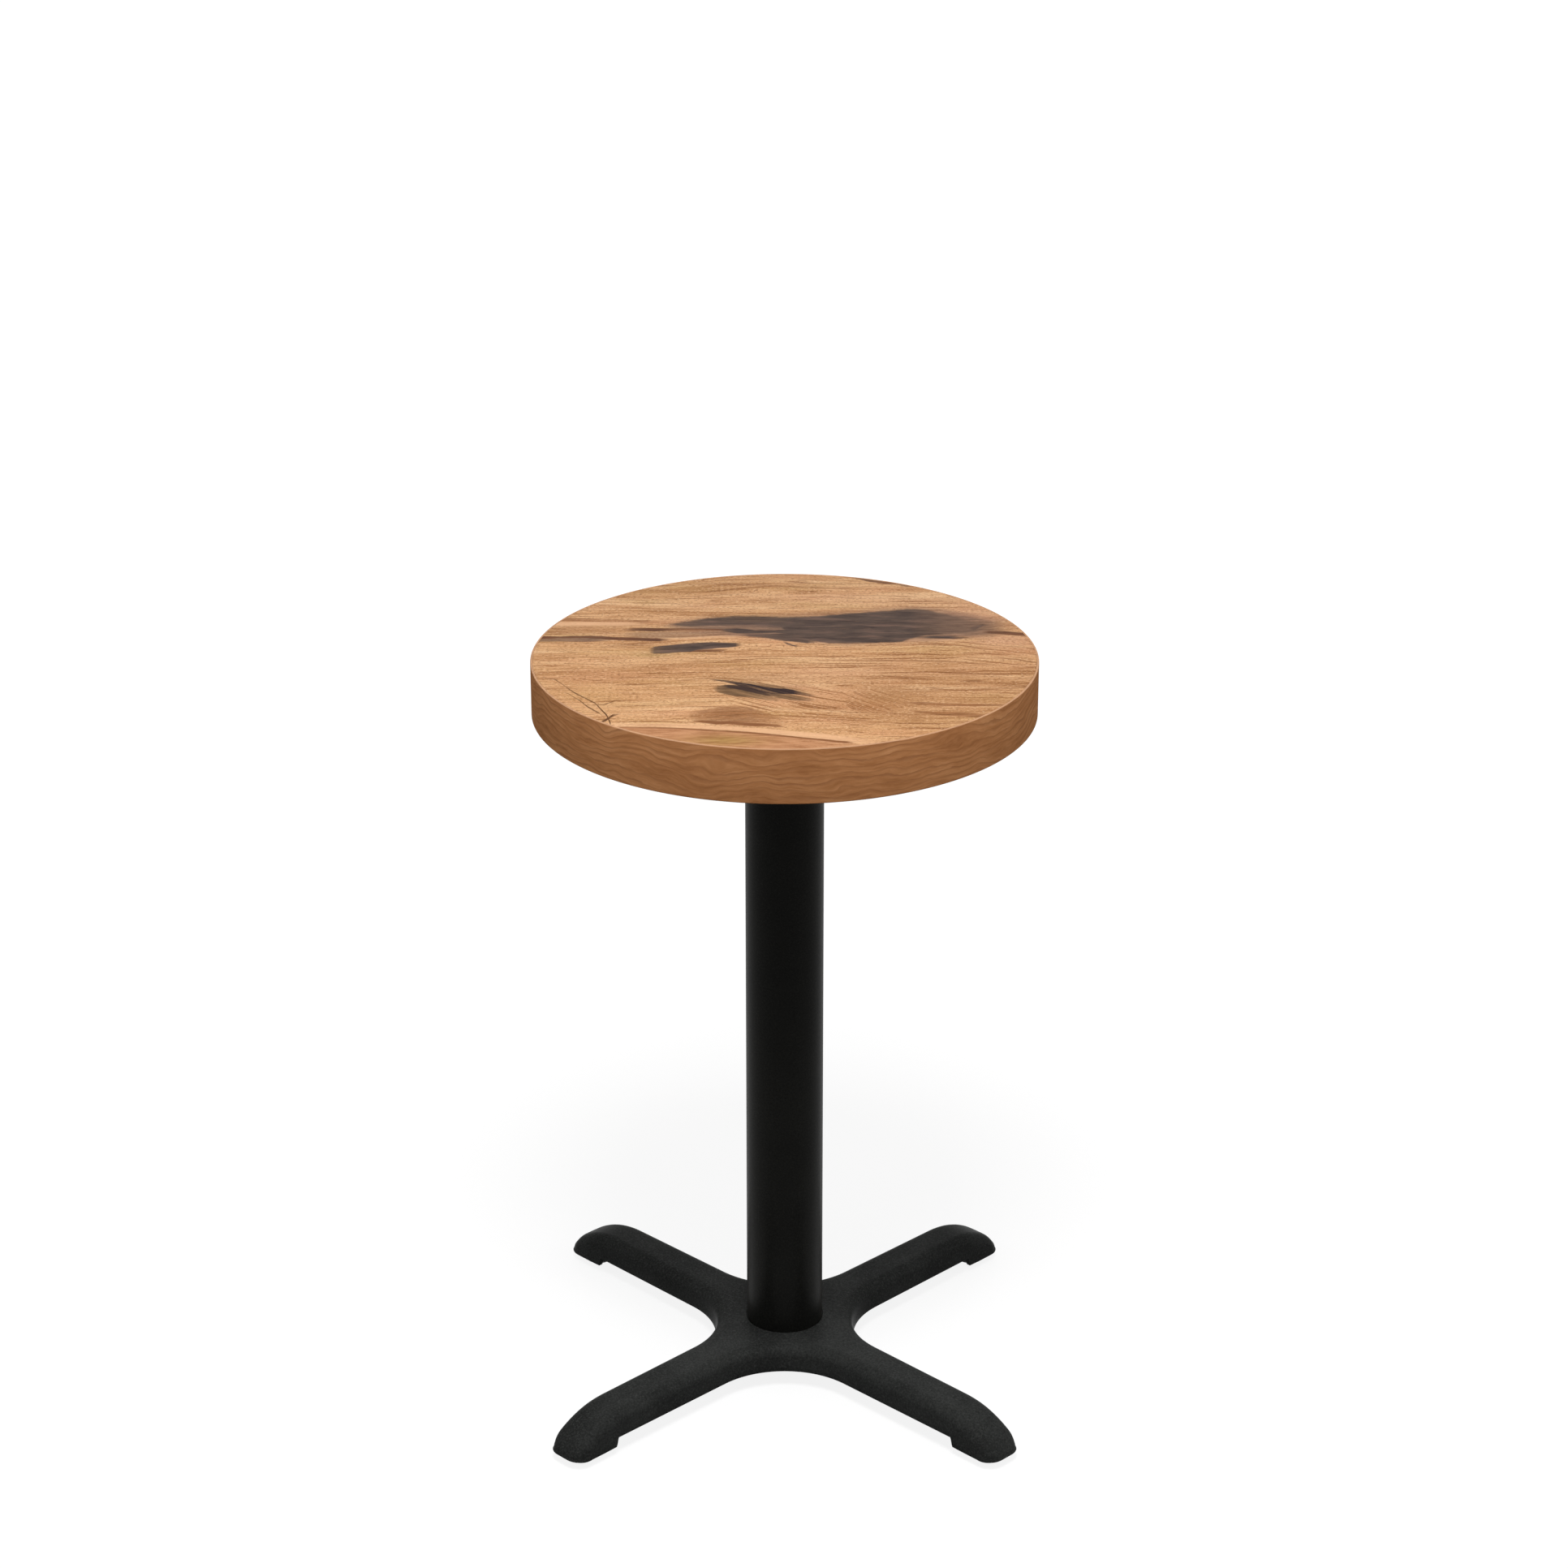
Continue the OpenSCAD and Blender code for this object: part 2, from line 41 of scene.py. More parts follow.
# Sizes in millimetres, as in the CAD source
TABLE_H, TOP_D, EDGE_H = 757.0, 482.0, 53.0
CORE_T, LAMINATE_T, BACKER_T = 28.0, 1.0, 0.8
BUILDUP_W, BAND_T, SPIDER_T = 52.0, 2.0, 6.0
COLUMN_D, COLUMN_WALL = 76.2, 2.0
BASE_H, SKIRT_H, REACH = 45.0, 26.5, 305.0
WALL, DRAFT, HUB_T, HUB_PAD_R = 5.0, 1.0, 9.0, 44.0
SEAT_DEPTH, SEAT_GAP, SPIGOT_H = 1.5, 0.9, 12.0
SPIGOT_R = COLUMN_D / 2 - COLUMN_WALL - 0.3
RIB_T, RIB_RISE, RIB_START = 5.0, 5.0, 24.0
ROD_R, ROD_HOLE_R, ROD_LOW, ROD_HIGH = 5.0, 5.3, 20.0, 719.7
ROD_THREAD, ROD_PITCH, STEM_PITCH = 45.0, 1.5, 1.25
PAD_FLOOR, STEM_FOOT_R, STEM_FOOT_H, STEM_R, STEM_TOP = 1.6, 6.0, 2.0, 4.0, 27.0
BOSS_R, BOSS_Z, BOSS_HOLE_R, BOSS_HOLE_LOW, BOSS_HOLE_TOP = 9.0, 10.7, 4.05, 9.0, 29.1
HEX_Z, HEX_H, HEX_AF = 6.0, 3.5, 13.0
GLIDE_R = REACH - 25.0
CORNERS = {corner: math.radians(degrees) for corner, degrees in (
    ("front_left", 225), ("front_right", 315), ("back_right", 45), ("back_left", 135))}
ARM_ANGLES = sorted(CORNERS.values())

# The camera, fitted to the photo: place in metres, angle down and focal length in photo pixels
CAMERA_AT, CAMERA_DOWN = (-0.0006, -3.4372, 2.0184), 22.05
FOCAL_PX, PHOTO_PX, SENSOR_MM, FAR_CLIP = 4754, 1932, 36, 200
# Lamps: name, place, aim and size in metres, and power in watts
LAMPS = [
    ("key", (0.0, -1.25, 3.1), (0, 0, 0.4), 0.9, 63),
    ("left", (-3.0, -0.2, 1.4), (0, 0, 0.45), 1.8, 13),
    ("right", (3.0, -0.2, 1.4), (0, 0, 0.45), 1.8, 18),
    ("back", (0.0, 3.0, 2.2), (0, 0, 0.5), 2.0, 12),
]
# Strength of the light from all sides, the floor's half width and the grey it reflects
FILL, FLOOR_HALF, FLOOR_GREY = 0.24, 40.0, 0.2
# The floor's glow goes from GLOW_NEAR at NEAR metres from the middle to GLOW_FAR at FAR metres
NEAR, FAR, GLOW_NEAR, GLOW_FAR = 0.4, 3.0, 0.86, 1.0


# Shader graphs

def srgb(r, g, b, share=1.0):
    """A share of a colour as it looks on screen, 0 to 255, in the linear values Blender wants."""
    def linear(c):
        c = c * share / 255
        return c / 12.92 if c <= 0.04045 else ((c + 0.055) / 1.055) ** 2.4
    return (linear(r), linear(g), linear(b), 1.0)


class Graph:
    """Short calls that add nodes to a node group, or to a new material or world."""

    def __init__(self, owner):
        self.owner = self.tree = owner
        if not isinstance(owner, bpy.types.NodeTree):
            owner.use_nodes = True
            self.tree = owner.node_tree
            self.tree.nodes.clear()

    def put(self, socket, value):
        if isinstance(value, bpy.types.NodeSocket):
            self.tree.links.new(value, socket)
        elif value is not None:
            socket.default_value = value

    def node(self, kind, *values, **settings):
        """A new node with settings, and values on its inputs in their order."""
        node = self.tree.nodes.new("ShaderNode" + kind)
        for key, value in settings.items():
            setattr(node, key, value)
        for socket, value in zip(node.inputs, values):
            self.put(socket, value)
        return node

    def add(self, kind, *values, **settings):
        return self.node(kind, *values, **settings).outputs[0]

    def fill(self, node, **values):
        """Puts values on inputs by their names, with _ for a space."""
        for key, value in values.items():
            self.put(node.inputs[key.replace("_", " ")], value)
        return node.outputs[0]

    def math(self, operation, *values):
        return self.add("Math", *values, operation=operation)

    def chain(self, operation, terms):
        """One value made of all the terms, which may come one by one."""
        terms = iter(terms)
        total = next(terms)
        for term in terms:
            total = self.math(operation, total, term)
        return total

    def sum(self, *terms):
        return self.chain("ADD", terms)

    def mul(self, *terms):
        return self.chain("MULTIPLY", terms)

    def vec(self, x, y, z):
        return self.add("CombineXYZ", x, y, z)

    def stretch(self, vec, size):
        """The point in steps of a size in millimetres: one length, or one for each axis."""
        x, y, z = size if isinstance(size, tuple) else (size,) * 3
        return self.add("VectorMath", vec, (1 / x, 1 / y, 1 / z), operation="MULTIPLY")

    def noise(self, vec, detail, rough):
        return self.fill(self.node("TexNoise"), Vector=vec, Scale=1.0, Detail=detail, Roughness=rough)

    def lumps(self, vec, size, detail=2.0, rough=0.5):
        """Noise with lumps of a size in millimetres."""
        return self.noise(self.stretch(vec, size), detail, rough)

    def sway(self, noise):
        """Noise that goes both ways from 0."""
        return self.math("SUBTRACT", noise, 0.5)

    def layer(self, along, across, sizes, shift=0.0):
        """One of the noise layers of the oak, stretched along the grain."""
        size_along, size_across, seed, detail, rough = sizes
        place = self.vec(self.mul(along, 1 / size_along), self.mul(across, 1 / size_across), seed + shift)
        return self.noise(place, detail, rough)

    def cells(self, vec):
        """Three random values that each cell of about 1 has for itself."""
        node = self.node("TexVoronoi")
        self.fill(node, Vector=vec, Scale=1.0, Randomness=1.0)
        return self.node("SeparateColor", node.outputs["Color"]).outputs

    def step(self, value, low, high, to_low=0.0, to_high=1.0):
        """Goes smoothly from to_low at low to to_high at high."""
        return self.add("MapRange", value, low, high, to_low, to_high, interpolation_type="SMOOTHSTEP")

    def mix(self, share, a, b):
        """The colour a with a share of the colour b."""
        node = self.node("Mix", share, data_type="RGBA")
        self.put(node.inputs[6], a)
        self.put(node.inputs[7], b)
        return node.outputs[2]

    def ramp(self, value, stops):
        """Colours by value, from stops of a position and a colour."""
        node = self.node("ValToRGB", value)
        points = node.color_ramp.elements
        while len(points) < len(stops):
            points.new(0.5)
        for point, (at, colour) in zip(points, stops):
            point.position = at
            point.color = colour
        return node.outputs[0]

    def tones(self, value, *stops):
        """A ramp whose colours are given as they look on screen."""
        return self.ramp(value, [(at, srgb(*colour)) for at, *colour in stops])

    def bump(self, height, strength, distance_mm):
        return self.fill(self.node("Bump"), Strength=strength, Distance=distance_mm * MM, Height=height)

    def finish(self, **values):
        """The material, once its shader has these values."""
        self.node("OutputMaterial", self.fill(self.node("BsdfPrincipled"), **values))
        return self.owner

    def scaled(self, value, origin, length):
        """0 at origin and 1 a length beyond it."""
        return self.math("MULTIPLY_ADD", value, 1 / length, -origin / length)

    def ribbon(self, x, y, points, soft):
        """Share of a mark whose edges follow points of x, top, bottom and strength, if it has any."""
        start, length = points[0][0], points[-1][0] - points[0][0]
        low = min(p[2] for p in points) - 1
        span = max(p[1] for p in points) + 1 - low
        edges = self.ramp(self.scaled(x, start, length), [
            ((at - start) / length, ((top - low) / span, (bottom - low) / span, sum(strength), 1.0))
            for at, top, bottom, *strength in points])
        return self.add("Group", edges, y, low, span, soft, node_tree=RIBBON)

    def marks(self, x, y, listed):
        """The strongest share of several marks."""
        def build(g, x, y):
            return g.chain("MAXIMUM", (g.ribbon(x, y, points, soft) for soft, *points in listed))
        return self.add("Group", x, y, node_tree=new_group("marks", ("x", "y"), build))

    def bell(self, x, y, x0, y0, half_l, half_w, level):
        """level at a point, falling to 0 round it."""
        return self.add("Group", self.scaled(x, x0, half_l), self.scaled(y, y0, half_w), level, node_tree=BELL)

    def bells(self, x, y, listed):
        """The sum of several bells of x, y, half length, half width and level."""
        def build(g, x, y):
            return g.sum(*[g.bell(x, y, *bell) for bell in listed])
        return self.add("Group", x, y, node_tree=new_group("bells", ("x", "y"), build))


def material(name):
    """The graph of a new material, and the point in mm as a vector and as x, y and z."""
    g = Graph(bpy.data.materials.new(name))
    point = g.node("TexCoord").outputs["Object"]
    vec = g.add("VectorMath", point, None, None, 1 / MM, operation="SCALE")
    return (g, vec, *g.node("SeparateXYZ", vec).outputs)


def new_group(name, inputs, build):
    """A node group whose one value build makes from its inputs; a name that starts with # is a colour."""
    tree = bpy.data.node_groups.new(name, "ShaderNodeTree")
    for label in inputs:
        kind = "NodeSocketColor" if label.startswith("#") else "NodeSocketFloat"
        tree.interface.new_socket(label.strip("#"), in_out="INPUT", socket_type=kind)
    tree.interface.new_socket("value", in_out="OUTPUT", socket_type="NodeSocketFloat")
    g = Graph(tree)
    source = tree.nodes.new("NodeGroupInput")
    sink = tree.nodes.new("NodeGroupOutput")
    g.put(sink.inputs[0], build(g, *source.outputs[:len(inputs)]))
    return tree


def bell_value(g, u, v, level):
    square = g.math("MULTIPLY_ADD", u, u, g.mul(v, v))
    return g.mul(g.math("POWER", math.exp(-1), square), level)


def ribbon_value(g, edges, y, low, span, soft):
    upper, lower, strength = g.node("SeparateColor", edges).outputs
    top, bottom = [g.math("MULTIPLY_ADD", edge, span, low) for edge in (upper, lower)]
    less = g.mul(soft, -1.0)
    below_top = g.step(g.math("SUBTRACT", top, y), less, soft)
    above_bottom = g.step(g.math("SUBTRACT", y, bottom), less, soft)
    return g.mul(below_top, above_bottom, strength)


BELL = new_group("bell", ("u", "v", "level"), bell_value)
RIBBON = new_group("ribbon", ("#edges", "y", "low", "span", "soft"), ribbon_value)


# The oak's pattern, in millimetres from the centre. A mark is its softness and then points of x, upper edge,
# lower edge and strength, if it has any. First the long dark streak and its tail, with ragged edges
DARK_MARKS = [
    (3, (-114, 91, 87), (-105, 95, 86, 0.8), (-91, 100, 84, 0.9), (-76, 107, 86, 0.95), (-56, 112, 87, 0.95),
     (-30, 114, 86, 0.9), (-4, 110, 80, 0.95), (10, 111, 60, 1), (24, 112, 44, 1), (43, 117, 36, 1),
     (63, 121, 35, 1), (86, 126, 37, 1), (101, 129, 38, 1), (113, 132, 40, 1), (120, 135, 48, 1),
     (128, 135, 52, 0.95), (140, 130, 58, 0.85), (155, 121, 61, 0.6), (168, 110, 63, 0.5), (182, 98, 66, 0.35),
     (197, 90, 74, 0.15), (206, 88, 80)),
    (1.5, (172, 80, 74), (182, 84, 70, 0.7), (192, 90, 83, 0.8), (200, 91, 86)),
]
# Dark marks whose edges keep closer to their points
SHARP_MARKS = [
    (1.4, (-64, 74, 70), (-56, 77, 68, 0.85), (-46, 78, 64, 1), (-36, 76, 63, 1), (-28, 72, 64, 1),
     (-10, 72, 65, 1), (8, 76, 60, 1), (24, 76, 60)),
    (2, (-46, 60, 57), (-34, 63, 55, 0.75), (-18, 63, 51, 0.85), (0, 63, 42, 0.95), (22, 62, 36, 0.95),
     (40, 62, 40)),
    (1.2, (-130, 20, 13), (-124, 26.5, 7, 0.85), (-115, 29, 8, 0.95), (-103, 33, 10, 1), (-90, 36, 12.5, 1),
     (-83, 38, 17.5, 1), (-70, 39, 20, 1), (-56, 38, 23.5, 1), (-47, 37, 26, 0.95), (-40, 34, 30)),
    (1.2, (118, 51, 47), (128, 53, 50, 0.5), (140, 57, 50, 0.95), (158, 57, 49, 1), (168, 54, 49, 0.6),
     (178, 52, 50)),
    (1, (-2, 42, 39), (2, 38, 33, 0.9), (9, 31, 27, 0.95), (15, 28, 25)),
    (1.2, (132, 70, 67), (148, 72, 67, 0.7), (170, 71, 67, 0.6), (188, 76, 72, 0.6), (198, 80, 77)),
]
# Grey-brown fill between the arms of the long streak
DUSKY_MARKS = [
    (2.5, (-120, 89, 81), (-104, 91, 78, 0.75), (-80, 94, 76, 0.9), (-50, 96, 70, 0.95), (-20, 96, 65, 1),
     (8, 96, 60, 1), (26, 96, 60)),
    (2.5, (-158, 67, 55), (-142, 67, 50, 0.4), (-118, 68, 49, 0.5), (-92, 70, 52, 0.5), (-62, 70, 57, 0.6),
     (-40, 68, 58, 0.75), (-10, 66, 50, 0.9), (6, 66, 44, 0.95), (26, 64, 46)),
    (3, (128, 124, 60), (146, 124, 57, 0.6), (165, 118, 56, 0.7), (182, 110, 58, 0.7), (198, 100, 62, 0.55),
     (214, 92, 68)),
    (1.5, (-246, 55, 40.5, 0.75), (-216, 55, 40.5, 0.85), (-190, 55, 40.5, 0.95), (-178, 53, 41.5, 0.85),
     (-166, 50, 43, 0.4), (-156, 47, 45)),
]
# Brown marks at the ends of the dark ones
BROWN_MARKS = [
    (0.9, (-246, 56, 48.5, 1), (-226, 56, 48.5, 1), (-216, 55, 49.5, 0.7), (-206, 56.5, 50.5, 0.85),
     (-190, 57, 50.5, 0.9), (-176, 56, 48.5, 0.9), (-165, 53, 45, 1), (-150, 52.5, 43.5, 1),
     (-135, 51, 42.5, 1), (-120, 49.5, 42, 1), (-107, 46.5, 45)),
    (1, (-98, 17.5, 12), (-90, 18, 11.5, 0.8), (-76, 18.5, 11.5, 0.9), (-62, 18, 12.5, 0.8), (-54, 18.5, 16)),
    (1.5, (190, 69, 64), (197, 71, 63, 0.85), (212, 70, 60, 0.97), (228, 66, 56, 0.97), (244, 62, 53, 0.95)),
    (1.5, (60, 238, 231), (70, 233, 226, 0.65), (86, 222, 215, 0.9), (101, 216, 209, 0.9),
     (112, 214, 207, 0.65), (122, 208, 201, 0.75), (134, 202, 198)),
    (1.2, (-158, 76, 73), (-147, 78.5, 71, 0.8), (-132, 79, 69.5, 1), (-118, 79, 70, 1),
     (-108, 78.5, 71, 0.85), (-80, 78, 72, 0.75), (-60, 76, 71, 0.8), (-50, 75, 70)),
]
# Tan lines and patches
TAN_MARKS = [
    (2, (-238, 112, 97, 0.75), (-214, 111, 98, 0.75), (-198, 107, 98, 0.7), (-180, 105, 97, 0.65),
     (-160, 104, 96.5, 0.65), (-142, 101, 95, 0.65), (-124, 100, 94, 0.55), (-106, 99, 94)),
    (4, (-246, 84, 60, 0.45), (-190, 86, 60, 0.42), (-160, 84, 66, 0.2), (-150, 82, 70)),
    (1, (-84, 61, 58), (-70, 62, 58.5, 0.6), (-52, 65, 61, 0.6), (-38, 67, 64)),
    (1, (-96, 12, 10), (-80, 15, 11, 0.6), (-56, 21, 18, 0.5), (-46, 23, 21)),
    (3, (-92, -150, -162), (-78, -144, -173, 0.7), (-62, -136, -179, 0.85), (-45, -132, -180, 0.9),
     (-30, -138, -183, 0.9), (-18, -148, -184, 0.8), (-8, -158, -185, 0.5), (4, -170, -182)),
    (1.3, (106, -120, -123), (122, -122, -129.5, 1), (150, -125, -131.5, 1), (175, -127, -133, 1),
     (200, -128, -132, 0.6), (210, -128, -130)),
    (1.6, (112, -141, -146), (124, -145, -151, 0.95), (140, -147, -155, 0.95), (165, -150, -160, 1),
     (182, -153, -161, 0.95), (192, -157, -160)),
    (1.4, (118, 41, 38), (147, 37, 33, 0.8), (170, 31, 27, 0.9), (186, 25, 21, 0.8), (216, 14, 11, 0.3),
     (244, 6, 3)),
    (1.2, (150, 47, 45), (175, 40, 36, 0.7), (200, 31, 28, 0.5), (240, 24, 21, 0.3)),
    (1.4, (20, -10, -12), (60, -9, -13, 0.75), (120, -10, -14, 0.85), (160, -13, -17, 0.8),
     (190, -20, -24, 0.6), (210, -26, -29)),
    (1.4, (168, 12, 9), (185, 10, 6, 0.75), (205, 7, 3, 0.85), (226, 4, 1)),
    (1.4, (190, -1, -4), (205, -3, -7, 0.7), (222, -8, -12, 0.8), (236, -15, -19, 0.7), (244, -22, -26, 0.5)),
    (1.4, (136, -42, -45), (150, -43, -47, 0.8), (176, -46, -50, 0.8), (206, -48, -52, 0.7), (216, -48, -50)),
    (1.4, (86, -50, -53), (98, -53, -57, 0.7), (124, -57, -61, 0.6), (150, -57, -60)),
    (2, (158, -63, -66), (166, -65, -69, 0.8), (182, -64, -70, 0.9), (190, -66, -69)),
    (1.4, (126, -81, -84), (138, -84, -88, 0.75), (152, -89, -93, 0.7), (172, -91, -94)),
    (1.4, (172, -85, -88), (184, -86, -90, 0.8), (212, -85, -88, 0.7), (226, -84, -86)),
    (3, (-112, 210, 204), (-60, 215, 206, 0.4), (-10, 206, 200, 0.5), (60, 200, 195, 0.4), (112, 196, 192)),
    (3, (-180, 24, 18), (-160, 34, 27, 0.5), (-128, 35, 28, 0.4), (-112, 33, 29)),
]
# Dark rims along the front stripe and the brown patch
RIM_MARKS = [
    (1, (-152, -186, -189, 0.5), (-118, -185, -189, 0.7), (-80, -190, -194, 0.8), (-40, -196, -200, 0.9),
     (0, -206, -210, 0.95), (24, -213, -217, 1), (55, -221, -226, 1), (66, -225, -227)),
    (1, (-86, -168, -170), (-73, -169, -176, 0.75), (-62, -172, -180, 0.9), (-50, -171, -178, 1),
     (-38, -174, -181, 0.9), (-26, -176, -184, 1), (-16, -178, -184, 0.8), (-6, -180, -186, 0.8),
     (2, -185, -187)),
]
# The knot's brown surround and its dark heart
KNOT_BROWN = [
    (1.6, (-67, -84, -88), (-62, -80, -97, 0.8), (-54, -77, -103, 0.95), (-44, -76, -108, 0.95),
     (-34, -82, -109, 0.95), (-26, -90, -113, 0.85), (-17, -100, -117, 0.7), (-8, -107, -119, 0.45),
     (0, -113, -119)),
    (1.6, (-48, -67, -76), (-34, -69, -80, 0.6), (-16, -75, -86, 0.7), (0, -82, -92, 0.6), (14, -90, -98, 0.4),
     (30, -102, -108)),
    (1.6, (-18, -98, -106), (-6, -100, -112, 0.85), (5, -103, -117, 0.9), (14, -107, -119, 0.8),
     (23, -112, -120, 0.5), (30, -116, -119)),
]
KNOT_DARK = [
    (0.9, (-71, -62, -63.5), (-64, -63, -66.5, 0.85), (-55, -65, -70, 0.95), (-47, -67.5, -75, 1),
     (-39, -72, -84, 1), (-28, -77, -91, 1), (-18, -83, -99, 1), (-8, -86, -103, 1), (0, -87, -101, 1),
     (8, -91, -102, 1), (16, -97, -104, 0.7), (24, -102, -108, 0.45), (31, -107, -109)),
    (1, (-60, -79, -82), (-52, -77, -85, 0.9), (-40, -81, -91, 0.9), (-28, -89, -99, 0.9),
     (-16, -96, -106, 0.8), (-6, -101, -107, 0.4), (3, -104, -107)),
]
# Fine cracks at the left
CRACKS = [
    (0.8, (-228, -56, -57), (-214, -62, -64, 0.75), (-204, -80, -82.4, 0.6), (-195, -96, -99, 0.95),
     (-183, -112, -115, 0.85), (-174, -124, -127, 0.9), (-168, -139, -143, 1), (-162, -154, -159, 1),
     (-158, -173, -180, 1), (-157, -178, -180)),
    (0.7, (-196, -108, -109.6), (-189, -116, -118.6, 0.85), (-180, -134, -137, 0.95), (-170, -148, -151, 0.8),
     (-164, -160, -162)),
    (0.8, (-168, -174, -177, 0.9), (-162, -164, -171, 1), (-157, -154, -160, 1), (-149, -150, -153)),
    (0.7, (-186, -131, -132), (-178, -130, -131.6, 0.4), (-166, -128, -130.4, 0.85), (-158, -120, -122.4, 0.7),
     (-150, -112, -113.6)),
    (0.7, (-206, -96, -97.4), (-200, -100, -102, 0.6), (-192, -112, -114, 0.6), (-186, -122, -124)),
]
# Pale lines beside dark ones
PALE_MARKS = [
    (2, (-240, 97, 86, 0.9), (-187, 97, 86, 0.9), (-157, 96, 86, 0.8), (-143, 94, 87, 0.6), (-130, 92, 87)),
    (1, (112, 43, 40), (124, 49, 42, 0.95), (140, 50, 44, 0.9), (158, 48, 43, 0.85), (174, 46, 42)),
    (2, (-122, 47, 43), (-96, 53, 46, 0.6), (-70, 57, 50, 0.6), (-48, 60, 53, 0.6), (-36, 60, 55)),
    (0.9, (-90, 19, 17), (-82, 20.5, 18, 0.8), (-66, 22.5, 19.5, 0.9), (-50, 25.5, 22.5, 0.7), (-44, 27, 25)),
    (2.5, (-156, -175, -185, 0.4), (-100, -177, -189, 0.7), (-60, -182, -194, 0.8), (-20, -189, -202, 0.9),
     (20, -199, -212, 0.9), (60, -211, -224, 0.7), (90, -216, -230)),
]
# Front stripe beyond the long boundary line
FRONT_STRIPE = [
    (1.5, (-170, -183, -200, 0.5), (-149, -186, -216, 0.85), (-118, -187, -240, 0.95), (-91, -190, -245, 1),
     (-60, -194, -245, 1), (-30, -199, -246, 1), (1, -208, -246, 1), (24, -216, -246, 0.95),
     (55, -224, -243, 0.7), (84, -230, -238)),
]
# Brown patch in the front stripe: x, y, half length, half width and level
BROWN_PATCH = (-54, -219, 34, 13, 0.9)
# Tinted areas: x, y, half length, half width, strength and colour
AREAS = [
    (-122, 5, 17, 9, 0.6, (152, 124, 78)), (-128, 58, 34, 9, 0.45, (172, 140, 110)),
    (-92, 66, 34, 6, 0.5, (164, 128, 100)), (180, 112, 52, 26, 0.6, (186, 138, 112)),
    (206, 44, 40, 20, 0.5, (216, 164, 136)), (98, -104, 30, 26, 0.8, (160, 116, 72)),
    (80, -136, 26, 16, 0.7, (164, 108, 64)), (120, 158, 110, 16, 0.35, (214, 170, 136)),
    (-60, 205, 70, 34, 0.35, (194, 144, 94)), (-100, -150, 60, 20, 0.3, (222, 172, 128)),
    (-60, -60, 50, 14, 0.45, (182, 134, 90)), (20, -60, 60, 14, 0.35, (212, 168, 132)),
    (-30, -62, 34, 12, 0.4, (176, 134, 98)), (6, -82, 22, 9, 0.5, (186, 142, 112)),
    (-180, -110, 46, 50, 0.3, (208, 152, 106)), (130, -196, 60, 26, 0.3, (200, 154, 100)),
    (-176, 20, 60, 14, 0.3, (196, 148, 96)), (-130, -84, 90, 50, 0.4, (190, 142, 94)),
    (60, -40, 50, 16, 0.3, (214, 166, 130)), (190, -140, 30, 26, 0.3, (196, 148, 100)),
    (160, -70, 110, 84, 0.55, (172, 124, 82)), (110, -150, 96, 34, 0.44, (160, 114, 74))]
# How the grain bends: x, y, half length, half width and lift
FLOW = [(-45, 46, 60, 24, 13), (60, 92, 130, 36, 9), (-45, -150, 55, 26, 9), (-30, 205, 62, 32, 12)]
# Patches where the grain falls to the right: x, y, half length, half width, slope there, its change
# per mm and share
FALLS = [(82, -118, 40, 32, -0.95, 0.011, 1), (4, -108, 58, 46, -0.58, 0.003, 1),
        (206, 2, 54, 40, -0.28, 0, 0.8)]
# A dusky border round the long streak: x, upper edge, lower edge and strength
DUSK = [(-122, 98, 80), (-80, 114, 66, 0.5), (0, 120, 44, 0.6), (60, 130, 28, 0.6), (124, 142, 38, 0.8),
        (150, 136, 44, 1), (176, 122, 50, 1), (200, 110, 56, 0.8), (226, 98, 62)]
# Places where the growth rings show most: x, y, half length, half width and strength
BUSY = [(82, -116, 42, 34, 1.3), (26, -142, 44, 36, 1.2), (-20, -64, 60, 22, 0.7), (170, -60, 90, 46, 0.75),
        (-60, 215, 60, 30, 0.35), (140, 0, 110, 36, 0.7), (-10, -160, 190, 60, 0.3), (-60, 0, 70, 20, 0.3),
        (-130, 35, 60, 12, 0.4)]
# Noise layers of the oak: size along and across the grain in mm, seed, detail and roughness
TONE = (300, 22, 0, 3, 0.55)
BANDS = (90, 5.4, 3, 4, 0.6)
LINES = (26, 2.6, 7, 3, 0.65)
PORES = (3.2, 2.0, 11, 2, 0.6)
STROKES = (92, 3.5, 13, 2, 0.55)
PATCHES = (80, 20, 19, 2, 0.5)
RAG_LONG = (26, 3.0, 23, 4, 0.65)
RAG_ROUND = (14, 12, 29, 2, 0.5)
STREAKY = (44, 2.6, 31, 3, 0.6)
CLOUDY = (52, 9, 37, 3, 0.6)
# Size along an axis in which a noise stays the same
FLAT = 1000
# Colours of the oak as they look on screen
OAK = {name: srgb(*rgb) for name, rgb in {
    "pink": (200, 142, 106), "olive": (188, 150, 94), "ring": (140, 92, 54), "line": (146, 98, 60),
    "pore": (122, 80, 47), "fleck": (238, 204, 164), "pale": (226, 178, 138), "rim": (126, 80, 48),
    "frayed": (110, 88, 74), "knot": (44, 29, 27), "crack": (92, 58, 34), "edge_ring": (150, 98, 63),
    "joint": (70, 48, 36), "painted_rim_highlight": (206, 168, 136)}.items()}


